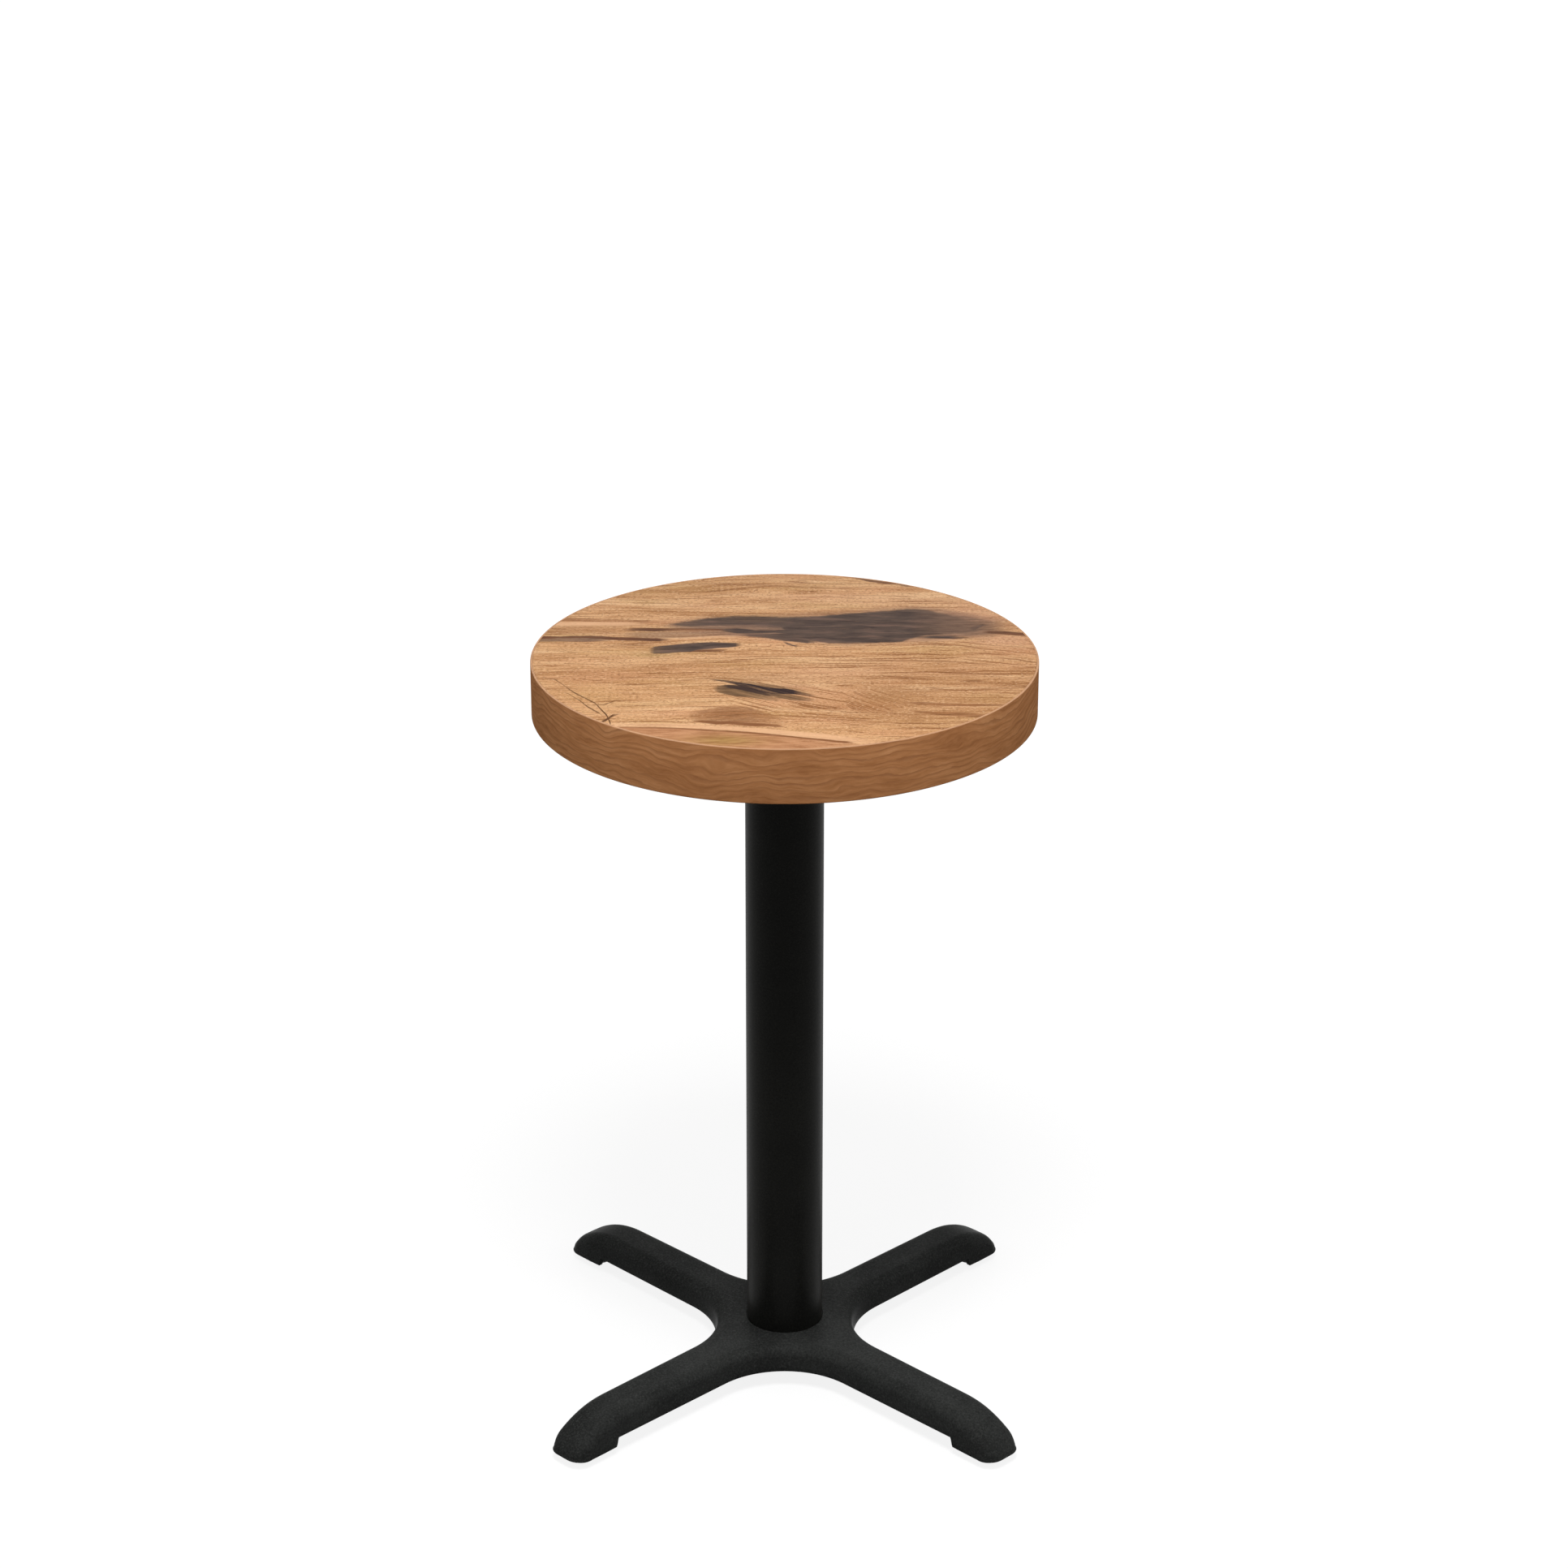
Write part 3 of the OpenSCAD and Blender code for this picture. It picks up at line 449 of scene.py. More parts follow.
def oak_top():
    """Oak decor of the upper face, with its streak, knot and cracks."""
    g, vec, x, y, _ = material("oak_laminate")
    broad = g.sway(g.lumps(vec, (170, 80, FLAT), 1.5))
    fine = g.sway(g.lumps(vec, (46, 15, FLAT)))
    shake = g.sum(g.mul(broad, 24.0), g.mul(fine, 7.0))
    wavy = g.math("SUBTRACT", g.sum(y, shake), g.bells(x, y, FLOW))

    # Bands, lines and thin strokes along the grain, which falls to the right in some places
    tone = g.layer(x, wavy, TONE)
    grain = [g.layer(x, wavy, sizes) for sizes in (BANDS, LINES, STROKES)]
    straight = grain[1]
    for k, (fx, fy, half_l, half_w, slope, change, share) in enumerate(FALLS):
        dx = g.math("SUBTRACT", x, fx)
        fall = g.mul(dx, g.sum(slope, g.mul(dx, change / 2)))
        near = g.step(g.bell(x, y, fx, fy, half_l, half_w, share), 0.25, 0.6)
        across = g.sum(g.math("SUBTRACT", y, fall), g.mul(shake, 0.5))
        falling = [g.layer(x, across, sizes, 40.0 + 20.0 * k) for sizes in (BANDS, LINES, STROKES)]
        grain = [g.sum(g.mul(old, g.math("SUBTRACT", 1.0, near)), g.mul(new, near))
                 for old, new in zip(grain, falling)]
    bands, lines, strokes = grain
    pores = g.layer(x, wavy, PORES)
    value = g.sum(g.mul(tone, 0.44), g.mul(bands, 0.36), g.mul(lines, 0.20))
    colour = g.tones(value, (0.34, 146, 100, 62), (0.43, 184, 134, 90), (0.50, 207, 158, 113),
                     (0.57, 217, 171, 126), (0.66, 232, 191, 148))
    tint = g.lumps(vec, (120, 36, FLAT))
    colour = g.mix(g.step(tint, 0.52, 0.72, 0.0, 0.4), colour, OAK["pink"])
    colour = g.mix(g.step(tint, 0.48, 0.30, 0.0, 0.4), colour, OAK["olive"])
    uneven = g.step(bands, 0.35, 0.62, 1.2, 0.6)
    for *bell, rgb in AREAS:
        colour = g.mix(g.mul(g.bell(x, y, *bell), uneven), colour, srgb(*rgb))

    # Growth rings as thin darker strokes, stronger where the grain is busy
    patchy = g.step(g.layer(x, wavy, PATCHES), 0.36, 0.62)
    busy = g.sum(g.bells(x, y, BUSY), g.mul(patchy, 0.50), 0.36)
    ring = g.math("MINIMUM", g.mul(g.step(strokes, 0.46, 0.34), busy), 0.92)
    colour = g.mix(ring, colour, OAK["ring"])
    colour = g.mix(g.step(lines, 0.47, 0.32, 0.0, 0.65), colour, OAK["line"])
    # Short dark pores and pale flecks
    dash = g.mul(g.step(pores, 0.47, 0.34), g.step(bands, 0.40, 0.62, 0.6, 0.95), 0.7)
    colour = g.mix(dash, colour, OAK["pore"])
    colour = g.mix(g.step(pores, 0.56, 0.70, 0.0, 0.45), colour, OAK["fleck"])

    # Marks with ragged edges, and others whose edges keep closer to their points
    long, blunt = g.sway(g.layer(x, y, RAG_LONG)), g.sway(g.layer(x, y, RAG_ROUND))
    ragged = g.sum(y, g.mul(long, 10.0), g.mul(blunt, 5.0))
    close = g.sum(y, g.mul(long, 3.5), g.mul(blunt, 2.0))
    streaky, cloudy = g.layer(x, ragged, STREAKY), g.layer(x, ragged, CLOUDY)
    fibre = g.step(lines, 0.36, 0.64)

    def lay(listed, tone, *shares):
        """The colour so far with a list of marks over it."""
        return g.mix(g.mul(g.marks(x, close, listed), *shares), colour, tone)

    colour = lay(PALE_MARKS, OAK["pale"], 0.8)
    colour = lay(FRONT_STRIPE, g.tones(fibre, (0.0, 160, 108, 72), (1.0, 192, 138, 100)), 0.85)
    brown = g.tones(fibre, (0.0, 140, 102, 54), (1.0, 176, 138, 82))
    colour = g.mix(g.bell(x, y, *BROWN_PATCH), colour, brown)
    tan = g.tones(fibre, (0.0, 112, 70, 40), (1.0, 158, 106, 66))
    colour = lay(TAN_MARKS, tan, g.step(streaky, 0.28, 0.56, 0.65, 1.0), 0.88)
    colour = lay(RIM_MARKS, OAK["rim"], 0.95)
    dusky = g.tones(fibre, (0.0, 106, 76, 60), (1.0, 156, 118, 94))
    colour = g.mix(g.mul(g.ribbon(x, ragged, DUSK, 7.0), 0.72), colour, dusky)
    grey = g.tones(streaky, (0.34, 82, 61, 51), (0.5, 112, 86, 71), (0.66, 144, 112, 91))
    colour = lay(DUSKY_MARKS, grey, 0.88)
    brown = g.tones(cloudy, (0.35, 74, 44, 28), (0.65, 112, 70, 46))
    colour = lay(BROWN_MARKS, brown, g.step(streaky, 0.26, 0.50, 0.85, 1.0))
    dark = g.math("MAXIMUM", g.marks(x, ragged, DARK_MARKS), g.marks(x, close, SHARP_MARKS))
    black = g.tones(cloudy, (0.32, 44, 32, 28), (0.44, 60, 46, 41), (0.54, 74, 59, 51), (0.66, 100, 76, 66))
    colour = g.mix(g.mul(dark, g.step(streaky, 0.24, 0.44, 0.85, 1.0)), colour,
                   g.mix(g.mul(fibre, 0.28), black, OAK["frayed"]))
    knot = g.tones(bands, (0.34, 70, 48, 33), (0.5, 98, 74, 50), (0.66, 132, 98, 66))
    colour = lay(KNOT_BROWN, knot, 0.95)
    colour = lay(KNOT_DARK, OAK["knot"], g.step(bands, 0.64, 0.52, 0.75, 1.0))
    colour = lay(CRACKS, OAK["crack"], 0.95)
    height = g.sum(g.mul(pores, 0.5), g.mul(straight, 0.5))
    return g.finish(Base_Color=colour, Roughness=g.step(value, 0.3, 0.7, 0.70, 0.62),
                    Specular_IOR_Level=0.05, Normal=g.bump(height, 0.35, 0.1))


def oak_edge():
    """Wood pattern of the edge band, with the grain running round it."""
    g, vec, x, y, z = material("oak_edge")
    broad = g.sway(g.lumps(vec, (95, 95, 60)))
    fine = g.sway(g.lumps(vec, (20, 20, 14)))
    wavy = g.sum(z, g.mul(broad, 44.0), g.mul(fine, 5.5))

    def layer(around, up, detail, rough):
        return g.noise(g.vec(g.mul(x, 1 / around), g.mul(y, 1 / around), g.mul(wavy, 1 / up)), detail, rough)

    tone, bands, lines = layer(70, 13, 3, 0.55), layer(34, 3.2, 3, 0.55), layer(9, 1.1, 2, 0.6)
    value = g.sum(g.mul(tone, 0.42), g.mul(bands, 0.38), g.mul(lines, 0.20))
    colour = g.tones(value, (0.32, 157, 102, 61), (0.45, 182, 123, 78), (0.54, 195, 135, 88),
                     (0.70, 213, 154, 106))
    saw = g.math("FRACT", g.sum(g.mul(wavy, 1 / 6.5), g.mul(bands, 0.9)))
    ring = g.mul(g.step(saw, 0.5, 0.9), g.step(saw, 1.0, 0.94))
    colour = g.mix(g.mul(ring, g.step(tone, 0.4, 0.62, 0.2, 0.6)), colour, OAK["edge_ring"])
    # The strip's joint at the back, and a painted highlight along its upper rim
    joint = g.mul(g.step(g.math("ABSOLUTE", x), 0.35, 0.12), g.math("GREATER_THAN", y, 0.0), 0.7)
    colour = g.mix(joint, colour, OAK["joint"])
    # Painted highlight: the top millimetre of the strip is paler
    colour = g.mix(g.step(z, TABLE_H - 1.0, TABLE_H - 0.15, 0.0, 0.6), colour, OAK["painted_rim_highlight"])
    return g.finish(Base_Color=colour, Roughness=0.72, Specular_IOR_Level=0.005,
                    Normal=g.bump(g.sum(lines, bands), 0.3, 0.1))


def powder_coat(name, rgb, coarse, rough, gloss):
    """Fine-textured black powder coat; coarse is the share of a casting's own unevenness in the relief."""
    g, vec, *_ = material(name)
    grain = g.lumps(vec, 0.55, 3, 0.6)
    sand = g.lumps(vec, 1.9, 2, 0.7)
    peel = g.lumps(vec, 2.6)
    waves = g.lumps(vec, 16)
    drift = g.lumps(vec, 60)
    base = g.mix(g.step(drift, 0.35, 0.65), srgb(*rgb, 0.88), srgb(*rgb, 1.08))
    for noise, low, high, most, tone in (
            (grain, 0.58, 0.78, 0.35, 1.5), (sand, 0.5, 0.30, 0.5, 0.5), (sand, 0.5, 0.70, 0.4, 1.6)):
        base = g.mix(g.step(noise, low, high, 0.0, most), base, srgb(*rgb, tone))
    height = g.sum(g.mul(grain, 0.12), g.mul(peel, 0.16), g.mul(waves, coarse))
    return g.finish(Base_Color=base, Roughness=g.sum(rough, g.mul(peel, 0.14)), Specular_IOR_Level=gloss,
                    Normal=g.bump(height, 0.5, 0.35))


def zinc(name, rgb, rough):
    """Zinc-plated steel."""
    g, vec, *_ = material(name)
    cloud = g.lumps(vec, 7, 3, 0.6)
    fine = g.lumps(vec, (0.5, 0.5, 1.6), 2, 0.6)
    base = g.mix(g.step(cloud, 0.35, 0.7), srgb(*rgb), srgb(*rgb, 0.86))
    return g.finish(Base_Color=base, Metallic=1.0, Roughness=g.sum(rough, g.mul(cloud, 0.12)),
                    Normal=g.bump(fine, 0.2, 0.05))


def particleboard():
    """Chips of wood in several tones, with smaller ones between them."""
    g, vec, *_ = material("particleboard")
    bent = g.add("VectorMath", vec, g.mul(g.lumps(vec, 5), 3.0), operation="ADD")
    chip, *_ = g.cells(g.stretch(bent, (3.4, 1.7, 0.9)))
    _, small, _ = g.cells(g.stretch(vec, (0.9, 0.9, 0.5)))
    value = g.sum(g.mul(chip, 0.6), g.mul(small, 0.4))
    colour = g.tones(value, (0.0, 132, 96, 62), (0.3, 172, 133, 92), (0.65, 196, 160, 118),
                     (1.0, 218, 188, 148))
    return g.finish(Base_Color=colour, Roughness=0.85, Specular_IOR_Level=0.2,
                    Normal=g.bump(value, 0.5, 0.3))


def backer():
    """Brown backing sheet with a fine fibre."""
    g, vec, *_ = material("backer")
    fibre = g.lumps(vec, (5.0, 0.5, 1), 3, 0.6)
    cloud = g.lumps(vec, (45, 30, 1))
    value = g.sum(g.mul(fibre, 0.6), g.mul(cloud, 0.4))
    colour = g.tones(value, (0.3, 98, 74, 55), (0.7, 128, 98, 74))
    return g.finish(Base_Color=colour, Roughness=0.7, Specular_IOR_Level=0.3, Normal=g.bump(fibre, 0.3, 0.1))


def nylon():
    """Black, a little worn."""
    g, vec, *_ = material("glide_nylon")
    fine = g.lumps(vec, 0.3)
    wear = g.lumps(vec, 4, 3)
    colour = g.mix(g.step(wear, 0.5, 0.75), srgb(24, 24, 24), srgb(42, 42, 41))
    return g.finish(Base_Color=colour, Roughness=g.sum(0.42, g.mul(wear, 0.2)), Normal=g.bump(fine, 0.3, 0.1))


OAK_TOP = oak_top()
OAK_EDGE = oak_edge()
CASTING = powder_coat("coated_casting", (46, 47, 46), coarse=0.30, rough=0.30, gloss=0.008)
SPIDER = powder_coat("coated_spider", (35, 36, 36), coarse=0.35, rough=0.50, gloss=0.03)
TUBE = powder_coat("coated_steel", (25, 25, 23), coarse=0.03, rough=0.34, gloss=0.04)
ZINC = zinc("zinc_steel", (205, 207, 206), rough=0.30)
BOARD = particleboard()
BACKER = backer()
NYLON = nylon()


# Mesh helpers

def arc(angle, steps):
    """Cosine and sine at even steps from 0 to an angle."""
    return [(math.cos(angle * k / steps), math.sin(angle * k / steps)) for k in range(steps + 1)]


def turned_by(u, v, angle):
    """The point u along and v across a direction, as x and y."""
    c, s = math.cos(angle), math.sin(angle)
    return u * c - v * s, u * s + v * c


def link_new(name, data):
    obj = bpy.data.objects.new(name, data)
    bpy.context.scene.collection.objects.link(obj)
    return obj


def solid(bm, name="part"):
    """An object in millimetres made of a bmesh, with its faces outward."""
    bmesh.ops.recalc_face_normals(bm, faces=bm.faces)
    mesh = bpy.data.meshes.new(name)
    bm.to_mesh(mesh)
    bm.free()
    return link_new(name, mesh)


def piece(name, bm, mat, body, node, sharp):
    """A bmesh in millimetres as a piece that rides on a body and stands for a CAD node."""
    obj = solid(bm, name)
    mesh = obj.data
    for v in mesh.vertices:
        v.co *= MM
    mesh.materials.append(mat)
    mesh.polygons.foreach_set("use_smooth", [True] * len(mesh.polygons))
    mesh.set_sharp_from_angle(angle=math.radians(sharp))
    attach(obj, body)
    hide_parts(node)


def join_rings(bm, a, b):
    """Faces between two rings of vertices; a ring may be one vertex many times."""
    for k in range(len(a)):
        n = (k + 1) % len(a)
        corners = list(dict.fromkeys((a[k], a[n], b[n], b[k])))
        if len(corners) > 2:
            bm.faces.new(corners)


def lathe(bm, profile, steps, centre=(0, 0)):
    """Revolves a closed profile of (radius, height) points; points on the axis are shared."""
    rings = []
    for r, z in profile:
        if r == 0:
            rings.append([bm.verts.new((centre[0], centre[1], z))] * steps)
        else:
            rings.append([bm.verts.new((centre[0] + r * c, centre[1] + r * s, z))
                          for c, s in arc(math.tau, steps)[:-1]])
    for a, b in zip(rings, rings[1:] + rings[:1]):
        join_rings(bm, a, b)


def oblong(inner, outer, low, high):
    """Profile of a ring, or of a disc if its inner radius is 0."""
    return [(inner, low), (outer, low), (outer, high), (inner, high)]


def rounded(points, radii, steps):
    """The closed profile with each corner that has a radius rounded off."""
    out = []
    for i, ((px, pz), r) in enumerate(zip(points, radii)):
        if r <= 0:
            out.append((px, pz))
            continue
        (ax, az), (bx, bz) = points[i - 1], points[(i + 1) % len(points)]
        la, lb = math.hypot(ax - px, az - pz), math.hypot(bx - px, bz - pz)
        start = (px + (ax - px) / la * r, pz + (az - pz) / la * r)
        end = (px + (bx - px) / lb * r, pz + (bz - pz) / lb * r)
        for k in range(steps + 1):
            t = k / steps
            w0, w1, w2 = (1 - t) ** 2, 2 * t * (1 - t), t * t
            out.append((w0 * start[0] + w1 * px + w2 * end[0], w0 * start[1] + w1 * pz + w2 * end[1]))
    return out


def turned_piece(name, points, radii, mat, node, steps=256, round_steps=3, sharp=32):
    """A piece of the table's body, turned from a profile whose corners are rounded."""
    bm = bmesh.new()
    lathe(bm, rounded(points, radii, round_steps), steps)
    piece(name, bm, mat, "table", node, sharp)


# Tabletop and column

LAMINATE_GAP, LAMINATE_SUNK, BOARD_GAP, BOARD_BEVEL = 0.12, 0.02, 0.1, 3.0
core_r = TOP_D / 2 - BAND_T
core_top = TABLE_H - LAMINATE_T
mount_z = core_top - CORE_T - BACKER_T
edge_z = TABLE_H - EDGE_H
ring_r = core_r - BUILDUP_W

turned_piece("laminate_sheet", oblong(0, core_r - LAMINATE_GAP, core_top, TABLE_H - LAMINATE_SUNK),
             [0, 0, 0.25, 0], OAK_TOP, "top_laminate")
turned_piece("edge_band_strip", oblong(core_r, core_r + BAND_T, edge_z, TABLE_H),
             [0.3, 1.0, 1.0, 0.25], OAK_EDGE, "edge_band", round_steps=5, sharp=60)
turned_piece("build_up_ring",
             [(ring_r + BOARD_BEVEL, edge_z), (core_r - BOARD_GAP, edge_z), (core_r - BOARD_GAP, mount_z),
              (ring_r, mount_z), (ring_r, edge_z + BOARD_BEVEL)],
             [0.5, 0.3, 0, 0, 0.5], BOARD, "edge_build_up_ring")
turned_piece("column",
             oblong(COLUMN_D / 2 - COLUMN_WALL, COLUMN_D / 2, BASE_H - SEAT_DEPTH, mount_z - SPIDER_T),
             [0.3, 0.5, 0.5, 0.3], TUBE, "column_tube", steps=192, round_steps=4, sharp=60)


# Base casting: its plan, the droop of its toes, the foot under each toe, and its rounded edges

ARM_ROOT, ARM_TOE, VALLEY = 25.0, 23.5, 84.0
DROOP_START, TOE_END_H, DROOP_POWER = 232.0, 17.0, 2.25
TOE_CORNER, EDGE_R, INNER_EDGE_R = 16.0, 12.0, 6.0
FOOT_L, FOOT_END_H, FOOT_MID_H = 52.0, 9.0, 8.5
STEP_HALF = 1.6
SKIRT_Z = BASE_H - SKIRT_H
FOOT_START = REACH - FOOT_L
STEP_AT = [FOOT_START + STEP_HALF * t for t in (1, 0.5, 0, -0.5, -1)]
# The lower rim's rounding as inset and rise, and the shares of the skirt's height that have a ring
RIM_ROUND, RIM_RISE, SKIRT_RINGS = ((0.7, 0.0), (0.2, 0.2), (0.0, 0.7)), 0.7, (0.35, 0.7)
LEAST_CORNER, LEAST_SKIRT, TOP_INSET, INNER_INSET = 3, 3, 0.6, 0.5
# How much the toe's corner shrinks with each mm of inset, and where the plan's even steps begin
CORNER_SHRINK, ARM_FROM = 0.7, DROOP_START - 4
CORNER_STEPS, SIDE_STEPS, DROOP_STEPS, ARM_STEPS, VALLEY_STEPS = 12, 16, 10, 7, 18
EDGE_STEPS, INNER_STEPS, BOSS_STEPS, BOSS_HOLE_STEPS = 10, 4, 48, 32
HUB_STEPS, SEAT_STEPS, ROD_HOLE_STEPS = 96, 128, 48
# How far ribs and bosses, the hub pad and the spigot go into the casting, and cuts out of it
SUNK, PAD_SUNK, SPIGOT_RISE, SPIGOT_BEVEL, CUT_OUT = 2.5, 2, 4, 1, 1
# Points of the mesh closer than this are one
WELD = 0.001


def top_z(u):
    """Height of the upper face at u along an arm."""
    t = max(u - DROOP_START, 0) / (REACH - DROOP_START)
    return BASE_H - (BASE_H - TOE_END_H) * t ** DROOP_POWER


def foot_z(u):
    t = max(u - FOOT_START, 0) / FOOT_L
    return FOOT_MID_H + (FOOT_END_H - FOOT_MID_H) * (2 * t - 1) ** 2


def rim_z(u):
    """Lower rim: the skirt's height, a short rounded step and then the foot."""
    t = min(max((u - (FOOT_START - STEP_HALF)) / (2 * STEP_HALF), 0), 1)
    return SKIRT_Z + (foot_z(u) - SKIRT_Z) * t * t * (3 - 2 * t)


def roof_z(u):
    """Height of the hollow's roof."""
    return top_z(u) - WALL


def edge_r(u):
    """Radius of the upper edge, less where the toe is low."""
    return min(EDGE_R, top_z(u) - rim_z(u) - LEAST_SKIRT)


def half_outline(inset):
    """Half of an arm's outline at an inset, from the middle of the toe to the middle of the valley."""
    tip, toe, root = REACH - inset, ARM_TOE - inset, ARM_ROOT - inset
    corner = max(TOE_CORNER - CORNER_SHRINK * inset, LEAST_CORNER)
    valley = VALLEY + inset
    centre = root + valley
    side_end = tip - corner
    pts = [(side_end + corner * c, toe - corner + corner * s) for c, s in arc(math.pi / 2, CORNER_STEPS)]
    stations = [side_end + (STEP_AT[0] - side_end) * k / SIDE_STEPS for k in range(1, SIDE_STEPS)]
    stations += STEP_AT
    stations += [STEP_AT[-1] + (ARM_FROM - STEP_AT[-1]) * k / DROOP_STEPS for k in range(1, DROOP_STEPS + 1)]
    stations += [ARM_FROM + (centre - ARM_FROM) * k / ARM_STEPS for k in range(1, ARM_STEPS)]
    pts += [(u, toe + (root - toe) * (side_end - u) / (side_end - centre)) for u in stations]
    return pts + [(centre - valley * s, centre - valley * c) for c, s in arc(math.pi / 4, VALLEY_STEPS)]


def casting_shell():
    """The casting without its ribs and bosses: one closed skin, open below."""
    bm = bmesh.new()

    def ring(inset, height):
        """A ring of vertices round the plan, and how many there are in half an arm and in an arm."""
        half = half_outline(inset)
        arm = [(u, -v) for u, v in reversed(half[1:])][1:] + [(half[0][0], -half[0][1])] + half
        verts = [bm.verts.new((*turned_by(u, v, a), height(u))) for a in ARM_ANGLES for u, v in arm]
        return verts, len(half), len(arm)

    def cap(verts, half, arm):
        """Closes a ring with strips across the arms and a face between the valleys."""
        for mid in range(half - 1, len(verts), arm):
            for h in range(half - 1):
                around = (mid + h, mid - 1 - h, mid - 2 - h, mid + h + 1)
                bm.faces.new([verts[i % len(verts)] for i in around])
        bm.faces.new(verts[arm - 1::arm])

    def low_side(u):
        return rim_z(u) + RIM_RISE

    outer = [ring(inset, lambda u: rim_z(u) + rise) for inset, rise in RIM_ROUND]
    for t in SKIRT_RINGS:
        outer.append(ring(
            DRAFT * t, lambda u: low_side(u) + (top_z(u) - edge_r(u) - rim_z(u) - RIM_RISE) * t))
    for c, s in arc(math.pi / 2, EDGE_STEPS):
        outer.append(ring(DRAFT + EDGE_R * (1 - c), lambda u: top_z(u) - edge_r(u) * (1 - s)))
    outer.append(ring(DRAFT + EDGE_R + TOP_INSET, top_z))
    inner = [ring(WALL - inset, lambda u: rim_z(u) + rise) for inset, rise in RIM_ROUND]
    inner.append(ring(WALL + INNER_INSET, lambda u: (low_side(u) + roof_z(u) - INNER_EDGE_R) / 2))
    for c, s in arc(math.pi / 2, INNER_STEPS):
        inner.append(ring(WALL + DRAFT + INNER_EDGE_R * (1 - c), lambda u: roof_z(u) - INNER_EDGE_R * (1 - s)))
    for stack in (outer, inner):
        for (a, _, _), (b, _, _) in zip(stack, stack[1:]):
            join_rings(bm, a, b)
        cap(*stack[-1])
    join_rings(bm, outer[0][0], inner[0][0])
    return bm


def apply_boolean(obj, bm, how):
    """Adds the solid of a bmesh to an object, or cuts it out."""
    other = solid(bm)
    mod = obj.modifiers.new("join", "BOOLEAN")
    mod.operation, mod.object, mod.solver = how, other, "EXACT"
    graph = bpy.context.evaluated_depsgraph_get()
    mesh = bpy.data.meshes.new_from_object(obj.evaluated_get(graph))
    obj.modifiers.clear()
    obj.data = mesh
    bpy.data.objects.remove(other)


def prism(bm, corners, half_w, angle):
    """Upright plate along an arm: corners are (u, z), half_w its half thickness."""
    left, right = [
        [bm.verts.new((*turned_by(u, v, angle), z)) for u, z in corners] for v in (-half_w, half_w)]
    bm.faces.new(left)
    bm.faces.new(right[::-1])
    for k in range(len(corners)):
        n = (k + 1) % len(corners)
        bm.faces.new((left[n], left[k], right[k], right[n]))


def glide_boss(bm, angle):
    """Round boss for a glide's stem, up into the arm's upper wall."""
    rings = []
    for low in (True, False):
        ring = []
        for c, s in arc(math.tau, BOSS_STEPS)[:-1]:
            u, v = GLIDE_R + BOSS_R * c, BOSS_R * s
            ring.append(bm.verts.new((*turned_by(u, v, angle), BOSS_Z if low else top_z(u) - SUNK)))
        rings.append(ring)
    join_rings(bm, *rings)
    bm.faces.new(rings[0])
    centre = bm.verts.new((*turned_by(GLIDE_R, 0, angle), top_z(GLIDE_R) - SUNK))
    for k in range(BOSS_STEPS):
        bm.faces.new((rings[1][k], rings[1][(k + 1) % BOSS_STEPS], centre))


def build_casting():
    """The casting with its ribs, glide bosses, hub pad, the column's seat and spigot, and its holes."""
    shell = solid(casting_shell())
    rib_z = SKIRT_Z + RIB_RISE
    rib = [(GLIDE_R, rib_z), (RIB_START, rib_z), (RIB_START, BASE_H - SUNK)]
    for k in range(DROOP_STEPS + 1):
        u = DROOP_START + (GLIDE_R - DROOP_START) * k / DROOP_STEPS
        rib.append((u, top_z(u) - SUNK))
    for pair in (0, 1):
        ribs = bmesh.new()
        for angle in ARM_ANGLES[pair::2]:
            prism(ribs, rib, RIB_T / 2, angle)
        apply_boolean(shell, ribs, "UNION")
    bosses = bmesh.new()
    for angle in CORNERS.values():
        glide_boss(bosses, angle)
    apply_boolean(shell, bosses, "UNION")
    nut_seat, seat_z, seat_r = BASE_H - HUB_T, BASE_H - SEAT_DEPTH, COLUMN_D / 2 + SEAT_GAP
    foot, top = nut_seat + SPIGOT_RISE, seat_z + SPIGOT_H
    pad = oblong(0, HUB_PAD_R, nut_seat, BASE_H - PAD_SUNK)
    seat = oblong(0, seat_r, seat_z, BASE_H + CUT_OUT)
    spigot = [(0, foot), (SPIGOT_R, foot), (SPIGOT_R, top - SPIGOT_BEVEL), (SPIGOT_R - SPIGOT_BEVEL, top),
              (0, top)]
    for profile, steps, how in (
            (pad, HUB_STEPS, "UNION"), (seat, SEAT_STEPS, "DIFFERENCE"), (spigot, HUB_STEPS, "UNION")):
        turned = bmesh.new()
        lathe(turned, profile, steps)
        apply_boolean(shell, turned, how)
    holes = bmesh.new()
    lathe(holes, oblong(0, ROD_HOLE_R, nut_seat - CUT_OUT, top + CUT_OUT), ROD_HOLE_STEPS)
    for angle in CORNERS.values():
        lathe(holes, oblong(0, BOSS_HOLE_R, BOSS_HOLE_LOW, BOSS_HOLE_TOP), BOSS_HOLE_STEPS,
              turned_by(GLIDE_R, 0, angle))
    apply_boolean(shell, holes, "DIFFERENCE")
    bm = bmesh.new()
    bm.from_mesh(shell.data)
    bpy.data.objects.remove(shell)
    bmesh.ops.remove_doubles(bm, verts=bm.verts, dist=WELD)
    bmesh.ops.dissolve_degenerate(bm, dist=WELD, edges=bm.edges)
    piece("base_casting", bm, CASTING, "table", "cross_base", sharp=40)


build_casting()


# Tie rod with rolled threads at its ends, and the glides' threaded stems

# A thread's depth as a share of its pitch, and its rows for each turn
THREAD_DEPTH, THREAD_STEPS = 0.6, 4
# Bevels at a rod's ends, in height and radius
ROD_BEVEL, ROD_BEVEL_R, STEM_BEVEL, STEM_BEVEL_R, BEVEL = 0.9, 1.2, 0.8, 1.1, 0.3
ROD_STEPS, STEM_STEPS = 24, 48


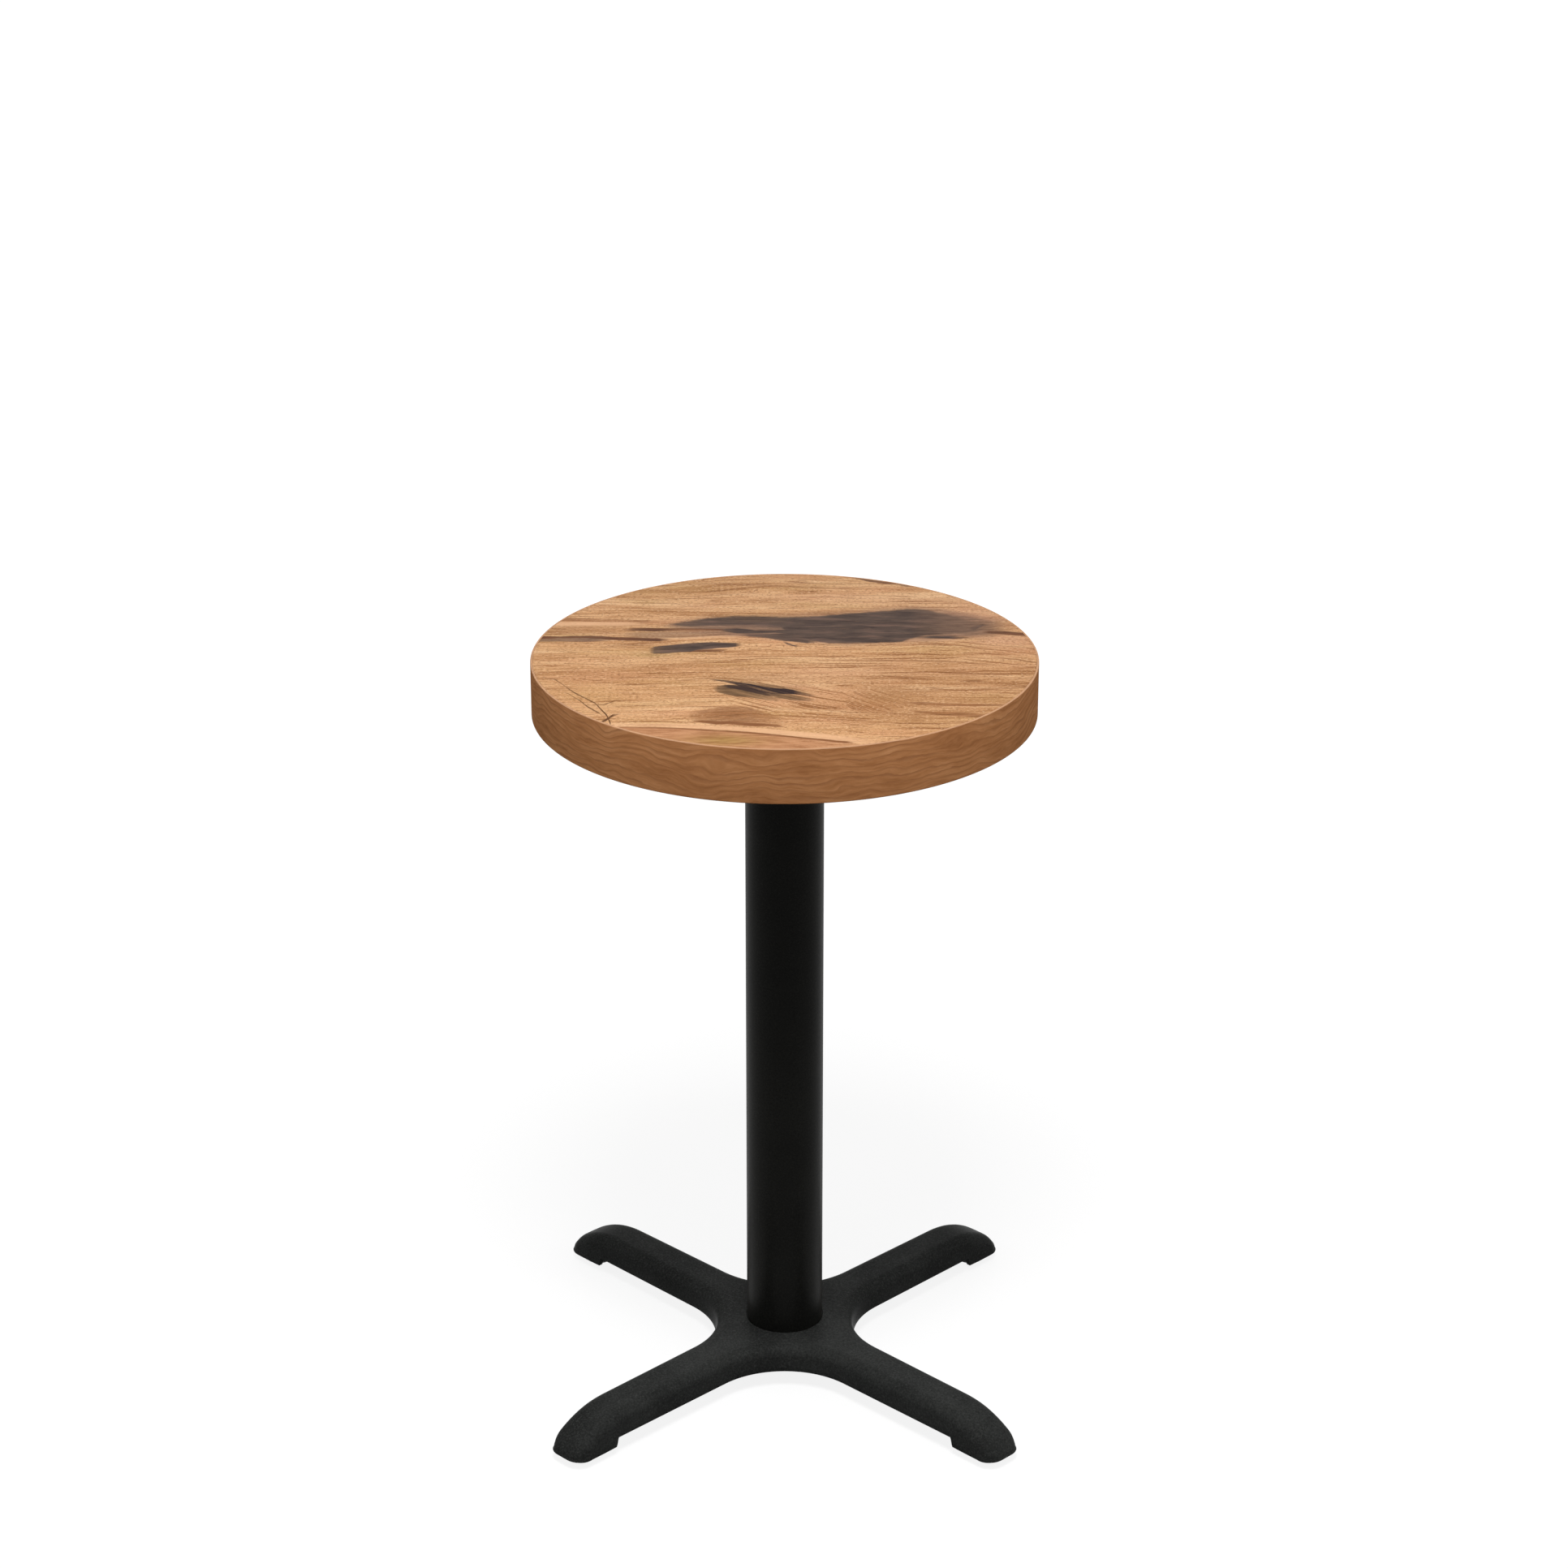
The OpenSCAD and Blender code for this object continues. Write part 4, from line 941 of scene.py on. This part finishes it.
def radius_at(shape, turn, z):
    """Radius at a share of a turn and a height; shape is a radius or (kind, size, pitch)."""
    if isinstance(shape, (int, float)):
        return shape
    kind, size, pitch = shape
    if kind == "hexagon":
        return size / 2 / math.cos(math.radians(turn * 360 % 60 - 30))
    return size - THREAD_DEPTH * pitch * abs(2 * ((z / pitch - turn) % 1) - 1)


def rod_piece(name, rows, steps, node, body, centre=(0, 0), start=0.0):
    """A closed rod from rows of (height, shape)."""
    bm = bmesh.new()
    rings = []
    for z, shape in rows:
        ring = []
        for k in range(steps):
            r, a = radius_at(shape, k / steps, z), start + math.tau * k / steps
            ring.append(bm.verts.new((centre[0] + r * math.cos(a), centre[1] + r * math.sin(a), z)))
        rings.append(ring)
    for a, b in zip(rings, rings[1:]):
        join_rings(bm, a, b)
    bm.faces.new(rings[0])
    bm.faces.new(rings[-1])
    piece(name, bm, ZINC, body, node, sharp=25)


def thread_rows(radius, pitch, low, high):
    count = round((high - low) / pitch * THREAD_STEPS)
    return [(low + (high - low) * k / count, ("thread", radius, pitch)) for k in range(count + 1)]


hexagon = ("hexagon", HEX_AF, 0)
hex_top = HEX_Z + HEX_H
foot_top = PAD_FLOOR + STEM_FOOT_H

rod_piece(
    "tie_rod_threaded", [(ROD_LOW, ROD_R - ROD_BEVEL_R)]
    + thread_rows(ROD_R, ROD_PITCH, ROD_LOW + ROD_BEVEL, ROD_LOW + ROD_THREAD)
    + [(ROD_LOW + ROD_THREAD + 1, ROD_R), (ROD_HIGH - ROD_THREAD - 1, ROD_R)]
    + thread_rows(ROD_R, ROD_PITCH, ROD_HIGH - ROD_THREAD, ROD_HIGH - ROD_BEVEL)
    + [(ROD_HIGH, ROD_R - ROD_BEVEL_R)], ROD_STEPS, "tie_rod", "table")
for corner, angle in CORNERS.items():
    rod_piece(
        "threaded_stem_" + corner,
        [(PAD_FLOOR, STEM_FOOT_R - BEVEL), (PAD_FLOOR + BEVEL, STEM_FOOT_R), (foot_top, STEM_FOOT_R),
         (foot_top, STEM_R), (HEX_Z, STEM_R), (HEX_Z, HEX_AF / 2), (HEX_Z + BEVEL, hexagon),
         (hex_top - BEVEL, hexagon), (hex_top, HEX_AF / 2)]
        + thread_rows(STEM_R, STEM_PITCH, hex_top, STEM_TOP - STEM_BEVEL) + [(STEM_TOP, STEM_R - STEM_BEVEL_R)],
        STEM_STEPS, "glide_stem_" + corner, "glide_stem_" + corner, turned_by(GLIDE_R, 0, angle), angle)


# Materials of the CAD nodes that stay

stay = {"tabletop_core": BOARD, "backer_sheet": BACKER, "mounting_spider": SPIDER, "spider_screws": ZINC,
        "upper_washer": ZINC, "upper_nut": ZINC, "lower_washer": ZINC, "lower_lock_washer": ZINC,
        "lower_nut": ZINC}
stay.update({"glide_pad_" + corner: NYLON for corner in CORNERS})
for node, mat in stay.items():
    NODES[node].data.materials.clear()
    NODES[node].data.materials.append(mat)


# Studio

def backdrop_share(g):
    """1 where the camera sees the backdrop, by itself, in a reflection or through glass."""
    rays = g.node("LightPath").outputs
    seen = g.math("MAXIMUM", rays["Is Camera Ray"], rays["Is Glossy Ray"])
    return g.math("MAXIMUM", seen, rays["Is Transmission Ray"])


def light_world():
    """Soft light from all sides, behind which the camera sees white."""
    world = bpy.data.worlds.new("studio")
    g = Graph(world)
    fill = g.add("Background", (1, 1, 1, 1), FILL)
    white = g.add("Background", (1, 1, 1, 1), 1.0)
    g.node("OutputWorld", g.add("MixShader", backdrop_share(g), fill, white))
    bpy.context.scene.world = world


def lay_floor():
    """A floor that looks white and keeps the table's shadow."""
    mesh = bpy.data.meshes.new("floor")
    s = FLOOR_HALF
    mesh.from_pydata([(-s, -s, 0), (s, -s, 0), (s, s, 0), (-s, s, 0)], [], [(0, 1, 2, 3)])
    floor = link_new("floor", mesh)
    mat = bpy.data.materials.new("floor")
    g = Graph(mat)
    matt = g.add("BsdfDiffuse", (FLOOR_GREY, FLOOR_GREY, FLOOR_GREY, 1))
    # The floor far from the lamps glows more, so that it stays as white as the near floor
    away = g.node("VectorMath", g.node("NewGeometry").outputs["Position"], operation="LENGTH").outputs["Value"]
    glow = g.mul(backdrop_share(g), g.step(away, NEAR, FAR, GLOW_NEAR, GLOW_FAR))
    g.node("OutputMaterial", g.add("AddShader", matt, g.add("Emission", None, glow)))
    mesh.materials.append(mat)


def hang_lamps():
    for name, place, aim, size, power in LAMPS:
        light = bpy.data.lights.new(name, "AREA")
        light.size = size
        light.energy = power
        lamp = link_new(name, light)
        lamp.location = place
        direction = [b - a for a, b in zip(place, aim)]
        yaw = math.atan2(direction[1], direction[0])
        pitch = math.atan2(math.hypot(*direction[:2]), -direction[2])
        lamp.rotation_euler = (pitch, 0, yaw - math.pi / 2)


def set_camera():
    camera = bpy.data.cameras.new("camera")
    camera.sensor_width = SENSOR_MM
    camera.lens = SENSOR_MM * FOCAL_PX / PHOTO_PX
    camera.clip_end = FAR_CLIP
    view = link_new("camera", camera)
    view.location = CAMERA_AT
    view.rotation_euler = (math.radians(90 - CAMERA_DOWN), 0, 0)
    bpy.context.scene.camera = view
    bpy.context.scene.view_settings.view_transform = "Standard"


light_world()
lay_floor()
hang_lamps()
set_camera()
